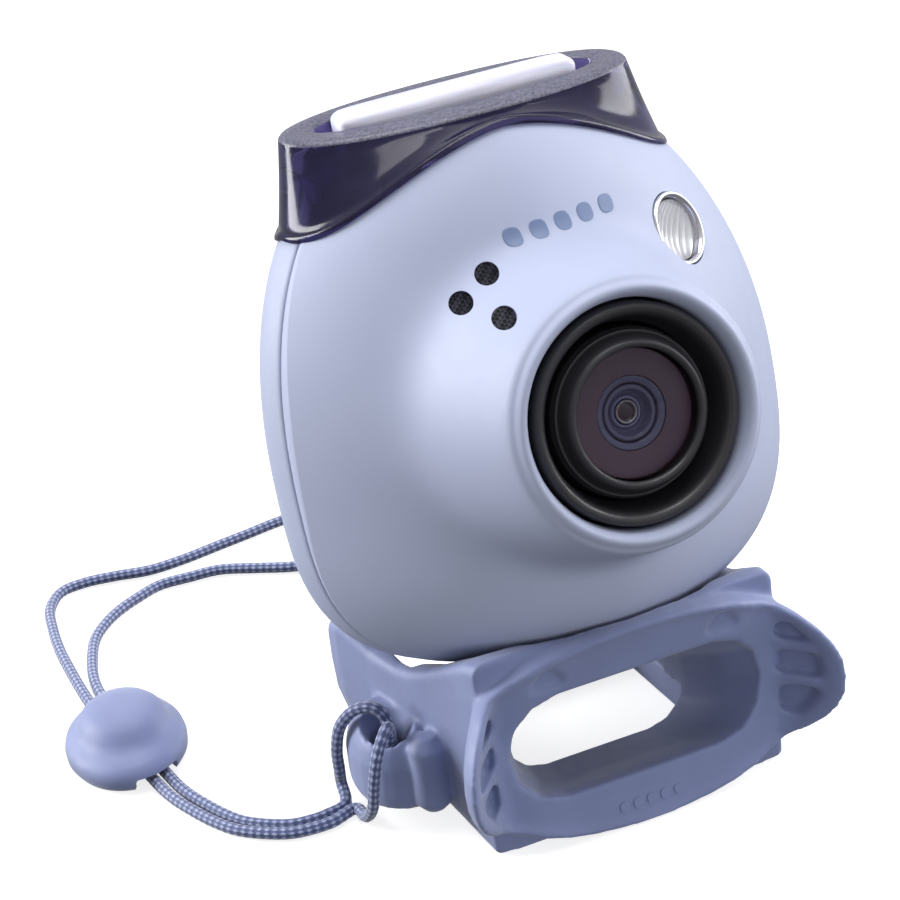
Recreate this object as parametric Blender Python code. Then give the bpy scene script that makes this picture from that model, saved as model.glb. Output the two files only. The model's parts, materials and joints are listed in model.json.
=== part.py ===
"""Palm-size rounded camera standing in its soft finger ring, with a wrist cord.

Lengths below are millimetres; every mesh is scaled to metres when it is made.
Two frames are used. The world frame has +Z up and the finger ring's foot on z = 0.
The camera frame has the lens looking along -Y and is tilted so the lens points up.
"""
import math

import bmesh
import bpy
from mathutils import Matrix, Vector

MM = 0.001
GAP = 0.3                      # clearance between neighbouring pieces

# camera body: superellipse sections stacked along Z
HALF_WIDTH = 21.15
FRONT_DEPTH = 14.6
REAR_DEPTH = 18.8
WIDEST_Z = -1.8
RISE = 28.5                    # from the widest section to the (cut off) crown
DROP = 15.95                   # from the widest section to the underside
WALL = 1.4
FRONT_POWER = 1.7              # plan exponent of the front half
REAR_POWER = 1.55              # plan exponent of the rear half
SPLIT_Y = -2.4                 # parting plane of the two shells
TILT = math.radians(15.0)      # lens axis above the horizontal
BODY_Y = 1.92                  # camera centre in the world, so that the box is centred
BODY_Z = 28.6

# lens, all turned round the lens axis
LENS_Z = 2.4
LIP_Y = -22.9
LIP_R = 9.3
SHOULDER_R = 10.3              # rounded edge where the lens mount turns into the body
SHOULDER_Y = -21.6
SHOULDER_FALL = 8.8
BORE_R = 8.55
RING_R = 8.25
TUBE_R = 6.35
GLASS_R = 4.85

# smoky top window
WINDOW_Y = -0.4
WINDOW_Z = 26.0
WINDOW_TILT = math.radians(13.0)
WINDOW_HALF = (14.65, 5.3)
COLLAR_HALF = (16.4, 8.9)
WELL_HALF = (16.2, 8.7)        # opening in the shells below the window
SLOT_HALF = (11.9, 2.8)
BAR_HALF = (10.1, 1.65)

# flash and speaker
FLASH_AT = (12.2, -9.55, 12.6)
FLASH_NORMAL = (0.5, -0.83, 0.22)
FLASH_R = 3.05
SPEAKER_HOLES = ((-5.6, 13.9), (-8.05, 12.3), (-6.6, 11.4))

# rear controls
SHUTTER_Z = 0.0
SHUTTER_R = 5.4
REAR_FACE_Y = 17.2
POWER_AT = (5.0, 2.0)          # y, z of the power button on the right side
SLIDER_Z = -10.0

# finger ring
RING_HEIGHT = 17.5
RING_HALF = 16.3
PLATE_Y = -16.2                # middle of the dished front plate
PLATE_POWER = 2.2
EAR_RISE = 4.4
LUG_AT = (15.8, -3.6)          # x, y of the eyelets' middle
LUG_HALF = (3.7, 4.6)
LUG_HOLE_AT = (16.8, -4.9)
LUG_HOLE_HALF = (1.45, 1.9)
LUG_TOP = 8.6
RIB_AT = (14.9, -8.4)

# wrist cord
CORD_D = 1.0
CORD_Z = 0.62

BEAD_AT = (-31.5, 17.0)
STRAND = 0.62                  # half the distance between two strands lying side by side

# world route without BODY_Y; a third number is the height where the cord leaves the table
LEAD = ((-19.8, -2.3), (-21.9, -3.0), (-23.6, -3.0), (-25.2, -2.6), (-26.9, -1.4), (-28.4, 0.2),
        (-29.4, 2.2), (-30.2, 4.6), (-30.9, 7.4), (-31.2, 10.4), (-31.5, 17.0), (-31.6, 25.2))
LOOP = ((-32.1, 28.8), (-31.8, 32.9), (-31.4, 36.9), (-30.7, 40.9), (-29.7, 44.7), (-27.8, 47.3),
        (-25.3, 47.8), (-22.5, 47.3), (-19.3, 46.4), (-15.8, 46.5), (-12.0, 47.1), (-8.7, 47.6),
        (-5.7, 48.1), (0.0, 48.5), (6.0, 47.5), (9.5, 44.0), (8.5, 40.0), (4.0, 37.8),
        (-1.0, 37.0), (-5.0, 37.6), (-8.2, 38.9), (-11.0, 40.7), (-13.8, 42.4), (-16.7, 42.8),
        (-19.5, 43.0), (-21.8, 42.1), (-24.3, 40.7), (-26.3, 39.0), (-28.1, 36.7), (-29.5, 33.4),
        (-30.6, 29.6))
UP_FRONT = ((-17.0, -5.4, 3.2), (-17.0, -5.6, 6.4), (-17.1, -6.4, 8.9), (-17.9, -7.5, 9.5),
            (-19.0, -8.1, 8.0), (-19.5, -7.9, 5.6), (-19.6, -7.1, 3.0), (-19.6, -5.2, 1.1))
UP_REAR = ((-19.4, 0.3, 1.4), (-19.7, -0.6, 3.2), (-19.9, -1.3, 5.5), (-19.6, -1.9, 7.7),
           (-18.7, -2.7, 9.2), (-17.7, -3.6, 9.75), (-16.9, -4.3, 9.4), (-16.5, -4.6, 8.2),
           (-16.4, -4.6, 6.0), (-16.4, -4.6, 3.4))

# inside and underside
SCREW_PLACES = ((-11.4, 9.0), (11.4, 9.0), (-11.4, -8.0), (11.4, -8.0))
FRAME_TOP = 10.6
FRAME_FOOT = 10.7
TRIPOD_Y = 0.0
DOOR_HALF = 6.6
DOOR_FRONT = 6.2
DOOR_PIN = (12.1, -15.2)       # y, z of the hinge axis, body frame
KNUCKLE_R = 0.95

# ring outline
RIM_LINE = ((-15.0, 17.1, 13.0), (-13.2, 16.7, 13.3), (-10.5, 15.3, 13.7),
            (-7.7, 13.8, 14.1), (-5.2, 12.7, 14.6), (-2.8, 12.1, 15.0), (1.0, 12.0, 15.6),
            (3.2, 12.7, 16.1), (4.9, 13.2, 16.5), (6.6, 12.6, 16.5), (8.0, 11.2, 15.9),
            (9.1, 9.0, 15.0))
EAR_POCKETS = ((11.4, 13.1), (8.2, 10.5), (4.7, 7.3))   # lowest and highest z
EAR_START = 12.0               # where the plate begins to rise into the ears
EAR_RIM = 15.3                 # inner edge of the ears' plain rim
DROP_AT = (7.6, 14.8)

SEGMENTS = 40


# ---------------------------------------------------------------- helpers

def clear_scene():
    for old in list(bpy.data.objects):
        bpy.data.objects.remove(old, do_unlink=True)


def material(name, colour, roughness, metallic=0.0, transmission=0.0):
    mat = bpy.data.materials.new(name)
    mat.use_nodes = True
    shader = mat.node_tree.nodes["Principled BSDF"]
    shader.inputs["Base Color"].default_value = (*colour, 1.0)
    shader.inputs["Roughness"].default_value = roughness
    shader.inputs["Metallic"].default_value = metallic
    shader.inputs["Transmission Weight"].default_value = transmission
    mat.diffuse_color = (*colour, 1.0)
    return mat


def add_object(name, bm, mat, parent=None, origin=(0, 0, 0), smooth=35.0):
    """Turn a bmesh in millimetres into an object whose origin is at `origin`."""
    shift = Vector(origin)
    for vert in bm.verts:
        vert.co = (vert.co - shift) * MM
    bmesh.ops.recalc_face_normals(bm, faces=bm.faces)
    mesh = bpy.data.meshes.new(name)
    bm.to_mesh(mesh)
    bm.free()
    mesh.shade_smooth()
    mesh.set_sharp_from_angle(angle=math.radians(smooth))
    obj = bpy.data.objects.new(name, mesh)
    bpy.context.scene.collection.objects.link(obj)
    obj.location = shift * MM
    obj.parent = parent
    if mat:
        mesh.materials.append(mat)
    return obj


def loft(rings, closed_loop=False):
    """Skin rings of equal point count with flat triangles; a closed loop joins last to first."""
    bm = bmesh.new()
    rows = [[bm.verts.new(point) for point in ring] for ring in rings]
    count = len(rows[0])
    pairs = list(zip(rows, rows[1:]))
    if closed_loop:
        pairs.append((rows[-1], rows[0]))
    for lower, upper in pairs:
        for i in range(count):
            j = (i + 1) % count
            bm.faces.new((lower[i], lower[j], upper[j], upper[i]))
    if not closed_loop:
        bm.faces.new(list(reversed(rows[0])))
        bm.faces.new(rows[-1])
    bmesh.ops.triangulate(bm, faces=bm.faces)
    return bm


def turned(profile, segments=SEGMENTS):
    """Revolve a closed (radius, height) outline round +Z; radii of 0 close on the axis."""
    bm = bmesh.new()
    columns = []
    for radius, height in profile:
        if radius < 1e-6:
            columns.append([bm.verts.new((0, 0, height))] * segments)
            continue
        column = []
        for i in range(segments):
            angle = 2 * math.pi * i / segments
            column.append(bm.verts.new((radius * math.cos(angle), radius * math.sin(angle), height)))
        columns.append(column)
    on_axis = profile[0][0] < 1e-6
    pairs = list(zip(columns, columns[1:]))
    if not on_axis:
        pairs.append((columns[-1], columns[0]))
    for first, second in pairs:
        for i in range(segments):
            j = (i + 1) % segments
            corners = [first[i], first[j], second[j], second[i]]
            unique = list(dict.fromkeys(corners))
            if len(unique) > 2:
                bm.faces.new(unique)
    return bm


def aim(bm, at, direction):
    """Turn a shape drawn along +Z so it looks along `direction`, and move it to `at`."""
    turn = Vector((0, 0, 1)).rotation_difference(Vector(direction).normalized())
    bm.transform(Matrix.Translation(Vector(at)) @ turn.to_matrix().to_4x4())
    return bm


def box(centre, size, bevel=0.0):
    bm = bmesh.new()
    bmesh.ops.create_cube(bm, size=1.0)
    bmesh.ops.scale(bm, vec=Vector(size), verts=bm.verts)
    if bevel:
        bmesh.ops.bevel(bm, geom=list(bm.edges), offset=bevel, segments=2, profile=0.5,
                        affect='EDGES')
    bmesh.ops.translate(bm, vec=Vector(centre), verts=bm.verts)
    return bm


def cutter(name, bm, parent=None):
    obj = add_object(name, bm, None, parent)
    obj.hide_render = True
    obj.display_type = 'WIRE'
    return obj


def boolean(obj, tool, operation='DIFFERENCE'):
    mod = obj.modifiers.new(tool.name, 'BOOLEAN')
    mod.operation = operation
    mod.solver = 'EXACT'
    mod.object = tool
    return mod


def superellipse(angle, half_x, half_y, power):
    cos, sin = math.cos(angle), math.sin(angle)
    x = half_x * math.copysign(abs(cos) ** (2 / power), cos)
    y = half_y * math.copysign(abs(sin) ** (2 / power), sin)
    return x, y


def angles(count=SEGMENTS):
    return [2 * math.pi * i / count for i in range(count)]


# ---------------------------------------------------------------- camera body shape

def taper(z, depth, rise_power, drop_power, inset):
    """Half size of the body at height z, `inset` below its outer surface."""
    above = z >= WIDEST_Z
    reach = (RISE if above else DROP) - inset
    power = rise_power if above else drop_power
    share = min(abs(z - WIDEST_Z) / reach, 1.0)
    return (depth - inset) * (1 - share ** power) ** (1 / power)


def body_value(x, y, z, inset=0.0):
    """Below 1 inside the body and above 1 outside."""
    half = taper(z, HALF_WIDTH, 2.3, 2.85, inset)
    depth = taper(z, FRONT_DEPTH if y < 0 else REAR_DEPTH, 2.55, 3.4, inset)
    power = FRONT_POWER if y < 0 else REAR_POWER
    if half < 1e-6 or depth < 1e-6:
        return 9.0
    return (abs(x) / half) ** power + (abs(y) / depth) ** power


def search(inside, low, high):
    """Largest value between low and high for which `inside` still holds."""
    for _ in range(40):
        middle = (low + high) / 2
        if inside(middle):
            low = middle
        else:
            high = middle
    return low


def section_radius(angle, y, centre_z, inset=0.0):
    """Distance from the axis (x=0, z=centre_z) to the body's skin in the plane y."""
    cos, sin = math.cos(angle), math.sin(angle)
    return search(lambda r: body_value(r * cos, y, centre_z + r * sin, inset) < 1, 0.0, 40.0)


def front_y(x, z, inset=0.0):
    return -search(lambda depth: body_value(x, -depth, z, inset) < 1, 0.0, 20.0)


def crown_z(x, y):
    return search(lambda z: body_value(x, y, z) < 1, WIDEST_Z, WIDEST_Z + RISE)


def flare_y(x, z):
    """Front skin with the raised lens mount blended in."""
    plain = -front_y(x, z)
    out = max(math.hypot(x, z - LENS_Z) - SHOULDER_R, 0.0)
    mount = -SHOULDER_Y - SHOULDER_FALL * (1 - math.exp(-(out / 1.75) ** 1.3)) - 1.0 * out
    blend = 1.6
    gap = abs(plain - mount)
    extra = max(blend - gap, 0.0) ** 2 / (4 * blend)
    return -(max(plain, mount) + extra)


# ---------------------------------------------------------------- shells

def circle_at(radius, y, centre_z):
    return [(radius * math.cos(a), y, centre_z + radius * math.sin(a)) for a in angles()]


def front_shell(mats, tilt):
    """Closed skin: bore, lip, outer face out to the parting plane, inner face back."""
    limit = SPLIT_Y - GAP / 2
    around = angles()
    rings = [circle_at(BORE_R, LIP_Y + 0.9, LENS_Z), circle_at(LIP_R - 0.45, LIP_Y + 0.2, LENS_Z),
             circle_at(LIP_R, LIP_Y, LENS_Z), circle_at(LIP_R + 0.35, LIP_Y + 0.6, LENS_Z)]
    start = LIP_R + 0.7
    steps = 11
    reach = [section_radius(a, limit, LENS_Z) for a in around]
    for k in range(steps + 1):
        share = math.sin((k / steps) ** 1.25 * math.pi / 2)
        ring = []
        for a, edge in zip(around, reach):
            radius = start + (edge - start) * share
            x, z = radius * math.cos(a), LENS_Z + radius * math.sin(a)
            ring.append((x, limit if k == steps else min(flare_y(x, z), limit), z))
        rings.append(ring)
    start = BORE_R + 0.5
    steps = 5
    reach = [section_radius(a, limit, LENS_Z, WALL) for a in around]
    for k in range(steps + 1):
        share = math.cos(k / steps * math.pi / 2)
        ring = []
        for a, edge in zip(around, reach):
            radius = start + (edge - start) * share
            x, z = radius * math.cos(a), LENS_Z + radius * math.sin(a)
            ring.append((x, limit if k == 0 else min(front_y(x, z, WALL), limit), z))
        rings.append(ring)
    rings.append(circle_at(BORE_R, -12.6, LENS_Z))
    return add_object("front_shell", loft(rings, closed_loop=True), mats["shell"], tilt)


def rear_shell(mats, tilt):
    """Closed skin: outer face to the button's flat, its hole, and the inner face back."""
    start = SPLIT_Y + GAP / 2
    rings = []
    for y in (start, 0.0, 4.5, 8.5, 11.8, 14.3, 16.2):
        rings.append(section(y, 0.0))
    for radius, y in ((7.6, REAR_FACE_Y - 0.15), (7.2, REAR_FACE_Y), (6.9, REAR_FACE_Y - 0.25),
                      (6.9, 15.6)):
        rings.append(circle_at(radius, y, SHUTTER_Z))
    for y in (14.9, 13.0, 9.5, 4.5, 0.0, start):
        rings.append(section(y, WALL))
    return add_object("rear_shell", loft(rings, closed_loop=True), mats["shell"], tilt)


def section(y, inset):
    ring = []
    for a in angles():
        radius = section_radius(a, y, SHUTTER_Z, inset)
        ring.append((radius * math.cos(a), y, SHUTTER_Z + radius * math.sin(a)))
    return ring


def rod(radius, start, end, segments=20):
    return turned([(0, start), (radius, start), (radius, end), (0, end)], segments)


def rear_skin(x, z):
    return search(lambda y: body_value(x, y, z) < 1, 0.0, 20.0)


def cut_shells(front, rear, tilt):
    well = [[(*superellipse(a, *WELL_HALF, 2.15), z) for a in angles(40)] for z in (14.0, 32.0)]
    well_cut = cutter("cut_window_well", loft(well), tilt)
    boolean(front, well_cut)
    boolean(rear, well_cut)
    flash = aim(rod(FLASH_R, -7, 4, 28), FLASH_AT, FLASH_NORMAL)
    boolean(front, cutter("cut_flash", flash, tilt))
    for index, (x, z) in enumerate(SPEAKER_HOLES):
        hole = speaker_hole(x, z, [(0, 1.3), (1.05, 1.3), (1.05, -1.1), (1.4, -1.1), (1.4, -4), (0, -4)], 16)
        boolean(front, cutter(f"cut_speaker_{index + 1}", hole, tilt))

    power_y, power_z = POWER_AT
    side = aim(rod(2.25, 12, 25, 24), (0, power_y, power_z), (1, 0, 0))
    boolean(rear, cutter("cut_power", side, tilt))
    boolean(rear, cutter("cut_slider", box((0, 17.0, SLIDER_Z), (6.8, 7.0, 2.4)), tilt))
    nut = aim(rod(4.9, -25, -12, 28), (0, TRIPOD_Y, 0), (0, 0, 1))
    nut_cut = cutter("cut_tripod", nut, tilt)
    boolean(front, nut_cut)
    boolean(rear, nut_cut)
    boolean(rear, cutter("cut_door", box((0, 9.63, -16.0), (DOOR_HALF * 2 + 0.56, 7.48, 8.0)), tilt))
    for index, (x, z) in enumerate(SCREW_PLACES):
        skin = rear_skin(x, z)
        hole = turned([(0, 25), (1.6, 25), (1.6, skin - 1.3), (1.0, skin - 1.3),
                       (1.0, skin - 7), (0, skin - 7)], 14)
        boolean(rear, cutter(f"cut_screw_{index + 1}", aim(hole, (x, 0, z), (0, 1, 0)), tilt))


def shell_screws(mats, tilt):
    for index, (x, z) in enumerate(SCREW_PLACES):
        top = rear_skin(x, z) - 0.3
        under = top - 0.7
        tip = -4.0
        shape = turned([(0, top - 0.35), (0.5, top - 0.35), (0.62, top), (1.25, top), (1.25, under),
                        (0.65, under), (0.65, tip), (0, tip)], 14)
        add_object(f"shell_screw_{index + 1}", aim(shape, (x, 0, z), (0, 1, 0)), mats["steel"], tilt)


# ---------------------------------------------------------------- top window and light

def window_point(a, half_x, half_y, lift, power=2.3):
    """A point of an outline on the tilted window face, `lift` above the face."""
    x, across = superellipse(a, half_x, half_y, power)
    y = WINDOW_Y + across * math.cos(WINDOW_TILT) - lift * math.sin(WINDOW_TILT)
    z = WINDOW_Z + across * math.sin(WINDOW_TILT) + lift * math.cos(WINDOW_TILT)
    return x, y, z


def collar_point(a, inset, lift):
    """A point near the collar's outline; heights are taken from the dome at that outline."""
    edge_x, edge_y = superellipse(a, *COLLAR_HALF, 2.15)
    x, y = superellipse(a, COLLAR_HALF[0] - inset, COLLAR_HALF[1] - inset, 2.15)
    return x, y, crown_z(edge_x, edge_y) + lift


def side_point(a, share, sag):
    """A point of the hollowed side wall between the face's edge and the collar."""
    upper = window_point(a, *WINDOW_HALF, -0.5)
    lower = collar_point(a, 0.4, 1.1)
    x, y, z = (p + (q - p) * share for p, q in zip(upper, lower))
    return x, y, z - sag


def top_window(mats, tilt):
    long, wide = WINDOW_HALF
    slot_x, slot_y = SLOT_HALF
    around = angles()
    outline = [
        lambda a: window_point(a, slot_x + 0.1, slot_y + 0.1, 0.0, 2.1),
        lambda a: window_point(a, long - 0.7, wide - 0.7, 0.0),
        lambda a: window_point(a, long - 0.2, wide - 0.2, -0.15),
        lambda a: window_point(a, long, wide, -0.5),
        lambda a: side_point(a, 0.35, 0.25),
        lambda a: side_point(a, 0.7, 0.25),
        lambda a: collar_point(a, 0.4, 1.1),
        lambda a: collar_point(a, 0.05, 0.85),
        lambda a: collar_point(a, -0.05, 0.5),
        lambda a: collar_point(a, 0.1, 0.35),
        lambda a: collar_point(a, 0.6, 0.75),
        lambda a: collar_point(a, 0.6, -0.4),
        lambda a: collar_point(a, 1.5, -0.4),
        lambda a: window_point(a, long - 1.7, wide - 1.5, -1.9),
        lambda a: window_point(a, slot_x, slot_y, -1.4, 2.1)]
    rings = [[place(a) for a in around] for place in outline]
    return add_object("top_window", loft(rings, closed_loop=True), mats["smoke"], tilt)


def light_parts(mats, tilt):
    half_x, half_y = BAR_HALF
    rings = []
    for inset, lift in ((0.0, -4.2), (0.0, 0.2), (0.25, 0.65), (0.8, 0.9)):
        half = (half_x - inset, half_y - min(inset, 0.7))
        rings.append([window_point(a, *half, lift, 6.0) for a in angles(40)])
    add_object("light_bar", loft(rings), mats["diffuser"], tilt)
    board = box((0, 0, -5.2), (21.0, 4.6, 1.0), 0.1)
    turn = Matrix.Rotation(WINDOW_TILT, 4, 'X')
    board.transform(Matrix.Translation((0, WINDOW_Y, WINDOW_Z)) @ turn)
    add_object("light_board", board, mats["board"], tilt)


# ---------------------------------------------------------------- lens

def lens_piece(name, profile, mat, tilt, segments=SEGMENTS):
    """Turned piece on the lens axis; heights count forward from the body's middle."""
    add_object(name, aim(turned(profile, segments), (0, 0, LENS_Z), (0, -1, 0)), mat, tilt)


def lens_stack(mats, tilt):
    front = -LIP_Y
    lens_piece("lens_outer_ring", [
        (6.65, front - 6.4), (6.65, front - 2.3), (7.0, front - 1.9), (7.5, front - 0.75),
        (7.75, front - 0.52), (8.0, front - 0.52), (8.2, front - 0.8), (RING_R, front - 1.2),
        (RING_R, front - 6.4)], mats["black"], tilt)
    lens_piece("lens_inner_tube", [
        (5.15, front - 9.4), (5.15, front - 1.1), (4.95, front - 0.8), (5.05, front - 0.5),
        (5.3, front - 0.4), (5.55, front - 0.6), (5.8, front - 1.4), (6.0, front - 1.8),
        (TUBE_R, front - 1.9), (TUBE_R, front - 9.4)], mats["black"], tilt)
    lens_piece("lens_window", [
        (0, front - 1.75), (GLASS_R, front - 1.75), (GLASS_R, front - 1.35), (4.6, front - 1.15),
        (0, front - 1.15)], mats["glass"], tilt)
    lens_piece("lens_barrel", [
        (1.3, front - 8.6), (1.3, front - 3.0), (1.9, front - 2.6), (2.25, front - 2.15),
        (2.75, front - 2.15), (3.1, front - 2.6), (4.75, front - 2.8), (4.75, front - 9.4),
        (2.1, front - 9.4), (2.1, front - 8.6)], mats["slate"], tilt, 32)
    lens_piece("lens_front_element", [
        (0, front - 5.0), (0.95, front - 5.0), (0.95, front - 3.3), (0.6, front - 2.95),
        (0, front - 2.8)], mats["glass"], tilt, 20)
    lens_piece("lens_rear_element", [
        (0, front - 9.5), (0.9, front - 9.4), (1.7, front - 9.3), (1.7, front - 8.9),
        (0, front - 8.9)], mats["glass"], tilt, 20)
    holder = box((0, -12.2, LENS_Z), (11.6, 1.6, 11.6), 0.3)
    holder_obj = add_object("lens_holder", holder, mats["black"], tilt)
    eye = aim(rod(1.9, -5, 5), (0, -12.2, LENS_Z), (0, 1, 0))
    boolean(holder_obj, cutter("cut_holder", eye, tilt))
    add_object("image_sensor", box((0, -10.5, LENS_Z), (7.0, 0.9, 5.4)), mats["glass"], tilt)
    add_object("sensor_board", box((0, -9.2, LENS_Z), (14.0, 0.9, 13.6)), mats["board"], tilt)


# ---------------------------------------------------------------- flash, speaker

def speaker_hole(x, z, outline, segments):
    """Turned shape looking out of the skin along the lens axis."""
    return aim(turned(outline, segments), (x, flare_y(x, z), z), (0, -1, 0))


def flash_and_speaker(mats, tilt):
    def add(name, profile, mat, segments=28):
        add_object(name, aim(turned(profile, segments), FLASH_AT, FLASH_NORMAL), mat, tilt)

    add("flash_window", [
        (0, -0.55), (2.3, -0.55), (2.3, -1.2), (2.75, -1.2), (2.75, 0.1), (2.6, 0.25),
        (2.35, 0.25), (2.2, 0.0), (0, 0.15)], mats["clear"])
    add("flash_reflector", [
        (0, -2.4), (1.1, -2.4), (1.8, -0.9), (2.0, -0.9), (2.0, -2.7), (0, -2.7)], mats["white"])
    add("flash_board", [(0, -3.4), (1.4, -3.4), (1.4, -3.0), (0, -3.0)], mats["board"], 20)
    for index, (x, z) in enumerate(SPEAKER_HOLES):
        disc = speaker_hole(x, z, [(0, -1.8), (1.2, -1.8), (1.2, -1.4), (0, -1.4)], 20)
        add_object(f"speaker_mesh_{index + 1}", disc, mats["black"], tilt)
    cone = turned([(0, 0), (2.2, 0), (3.3, 0.6), (3.3, 1.9), (2.2, 1.9), (1.2, 1.4), (0, 1.4)], 20)
    add_object("speaker", aim(cone, (-6.0, -5.0, 14.6), (0, -1, 0)), mats["black"], tilt)


# ---------------------------------------------------------------- inside

def inner_frame(mats, tilt):
    """A plate frame that follows the front shell and carries the four shell screws."""
    rings = []
    for y in (-7.2, -2.4):
        ring = []
        for a in angles(32):
            radius = section_radius(a, -7.6, 0.0, WALL + 0.5)
            x, z = radius * math.cos(a), radius * math.sin(a)
            limit = min(1.0, FRAME_TOP / z if z > 0 else 1.0, -FRAME_FOOT / z if z < 0 else 1.0)
            ring.append((x * limit, y, z * limit))
        rings.append(ring)
    frame = add_object("inner_frame", loft(rings), mats["frame"], tilt)
    boolean(frame, cutter("cut_frame", box((0, -4.7, -1.0), (19.6, 9.0, 16.4)), tilt))
    for index, (x, z) in enumerate(SCREW_PLACES):
        bore = aim(rod(0.95, -12, 5, 20), (x, 0, z), (0, 1, 0))
        boolean(frame, cutter(f"cut_frame_{index + 1}", bore, tilt))


def inside_parts(mats, tilt):
    inner_frame(mats, tilt)
    main = add_object("main_board", box((0, -1.1, 0.0), (20.4, 1.0, 21.0), 0.1), mats["board"], tilt)
    for index, x in enumerate((-8.8, 8.8)):
        bore = aim(rod(0.9, -6, 6, 16), (x, 0, -8.9), (0, 1, 0))
        boolean(main, cutter(f"cut_board_{index + 1}", bore, tilt))
        screw = turned([(0, 0.1), (1.2, 0.1), (1.2, -0.25), (0.6, -0.25), (0.6, -1.7), (0, -1.7)], 14)
        add_object(f"board_screw_{index + 1}", aim(screw, (x, 0, -8.9), (0, 1, 0)), mats["steel"], tilt)

    tray = add_object("battery_tray", box((0, 5.4, 0.5), (20.4, 9.0, 19.0), 0.5), mats["frame"], tilt)
    boolean(tray, cutter("cut_tray", box((0, 4.2, 0.5), (18.8, 9.0, 17.4)), tilt))
    add_object("battery", box((0, 4.7, 0.5), (18.0, 7.2, 16.6), 0.8), mats["battery"], tilt)
    add_object("card_socket", box((0, 10.85, -6.6), (12.4, 1.3, 11.0), 0.1), mats["steel"], tilt)
    usb = add_object("usb_socket", box((0, 7.6, -12.3), (9.0, 3.2, 4.2), 0.3), mats["steel"], tilt)
    boolean(usb, cutter("cut_usb", box((0, 7.6, -14.0), (8.2, 2.4, 5.0)), tilt))
    add_object("antenna_board", box((0, 8.0, 14.0), (12.0, 0.8, 5.0)), mats["board"], tilt)
    add_object("flex_cable", box((0, -5.2, -6.0), (6.0, 6.4, 0.3)), mats["amber"], tilt)
    nut = turned([(3.2, -17.5), (4.55, -17.5), (4.55, -12.2), (5.6, -12.2), (5.6, -11.0),
                  (3.2, -11.0)], 28)
    add_object("tripod_nut", aim(nut, (0, TRIPOD_Y, 0), (0, 0, 1)), mats["brass"], tilt)


# ---------------------------------------------------------------- controls

def controls(mats, tilt):
    face = REAR_FACE_Y
    button = turned([
        (0, 15.25), (2.0, 15.25), (2.0, 15.6), (6.2, 15.6), (6.2, 16.15), (SHUTTER_R, 16.25),
        (SHUTTER_R, face + 1.7), (5.1, face + 2.2), (4.3, face + 2.5), (2.4, face + 2.75),
        (0, face + 2.85)], 36)
    aim(button, (0, 0, SHUTTER_Z), (0, 1, 0))
    add_object("shutter_button", button, mats["accent"], tilt, origin=(0, face, SHUTTER_Z))
    ring = turned([(5.75, 16.55), (6.6, 16.55), (6.6, face + 0.1), (6.4, face + 0.3),
                   (5.95, face + 0.3), (5.75, face + 0.1)], 36)
    add_object("shutter_ring", aim(ring, (0, 0, SHUTTER_Z), (0, 1, 0)), mats["diffuser"], tilt)
    add_object("button_board", box((0, 12.9, 1.6), (13.0, 0.9, 12.0), 0.1), mats["board"], tilt)
    switch = turned([(0, 13.65), (2.4, 13.65), (2.4, 14.4), (1.4, 14.8), (0, 14.85)], 16)
    add_object("shutter_switch", aim(switch, (0, 0, SHUTTER_Z), (0, 1, 0)), mats["steel"], tilt)

    y, z = POWER_AT
    key = turned([(0, 14.7), (2.9, 14.7), (2.9, 15.3), (1.95, 15.4), (1.95, 19.9), (1.6, 20.15),
                  (0, 20.25)], 24)
    add_object("power_button", aim(key, (0, y, z), (1, 0, 0)), mats["accent"], tilt,
               origin=(18.5, y, z))
    add_object("power_switch", box((13.4, y, z), (1.6, 4.0, 3.2), 0.2), mats["steel"], tilt)

    knob = add_object("mode_slider", box((0, 16.1, SLIDER_Z), (3.6, 4.2, 1.7), 0.25),
                      mats["accent"], tilt, origin=(0, 16.9, SLIDER_Z))
    foot = cutter("join_slider_foot", box((0, 13.6, SLIDER_Z), (5.0, 1.2, 3.4)), tilt)
    boolean(knob, foot, 'UNION')
    add_object("slider_switch", box((0, 12.35, SLIDER_Z), (7.0, 0.8, 3.0), 0.1), mats["steel"], tilt)


def bottom_z(x, y, inset=0.0):
    return WIDEST_Z - search(lambda d: body_value(x, y, WIDEST_Z - d, inset) < 1, 0.0, DROP)


def curved_plate(outer, inner):
    """A solid between two grids of points with the same numbers of rows and columns."""
    bm = bmesh.new()
    skins = [[[bm.verts.new(point) for point in row] for row in grid] for grid in (outer, inner)]
    rows, columns = len(outer), len(outer[0])
    for grid in skins:
        for j in range(rows - 1):
            for i in range(columns - 1):
                bm.faces.new((grid[j][i], grid[j][i + 1], grid[j + 1][i + 1], grid[j + 1][i]))
    border = [(0, i) for i in range(columns)] + [(j, columns - 1) for j in range(1, rows)]
    border += [(rows - 1, i) for i in range(columns - 2, -1, -1)]
    border += [(j, 0) for j in range(rows - 2, 0, -1)]
    for (j, i), (m, n) in zip(border, border[1:] + border[:1]):
        bm.faces.new((skins[0][j][i], skins[0][m][n], skins[1][m][n], skins[1][j][i]))
    bmesh.ops.recalc_face_normals(bm, faces=bm.faces)
    bmesh.ops.triangulate(bm, faces=bm.faces)
    return bm


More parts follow.
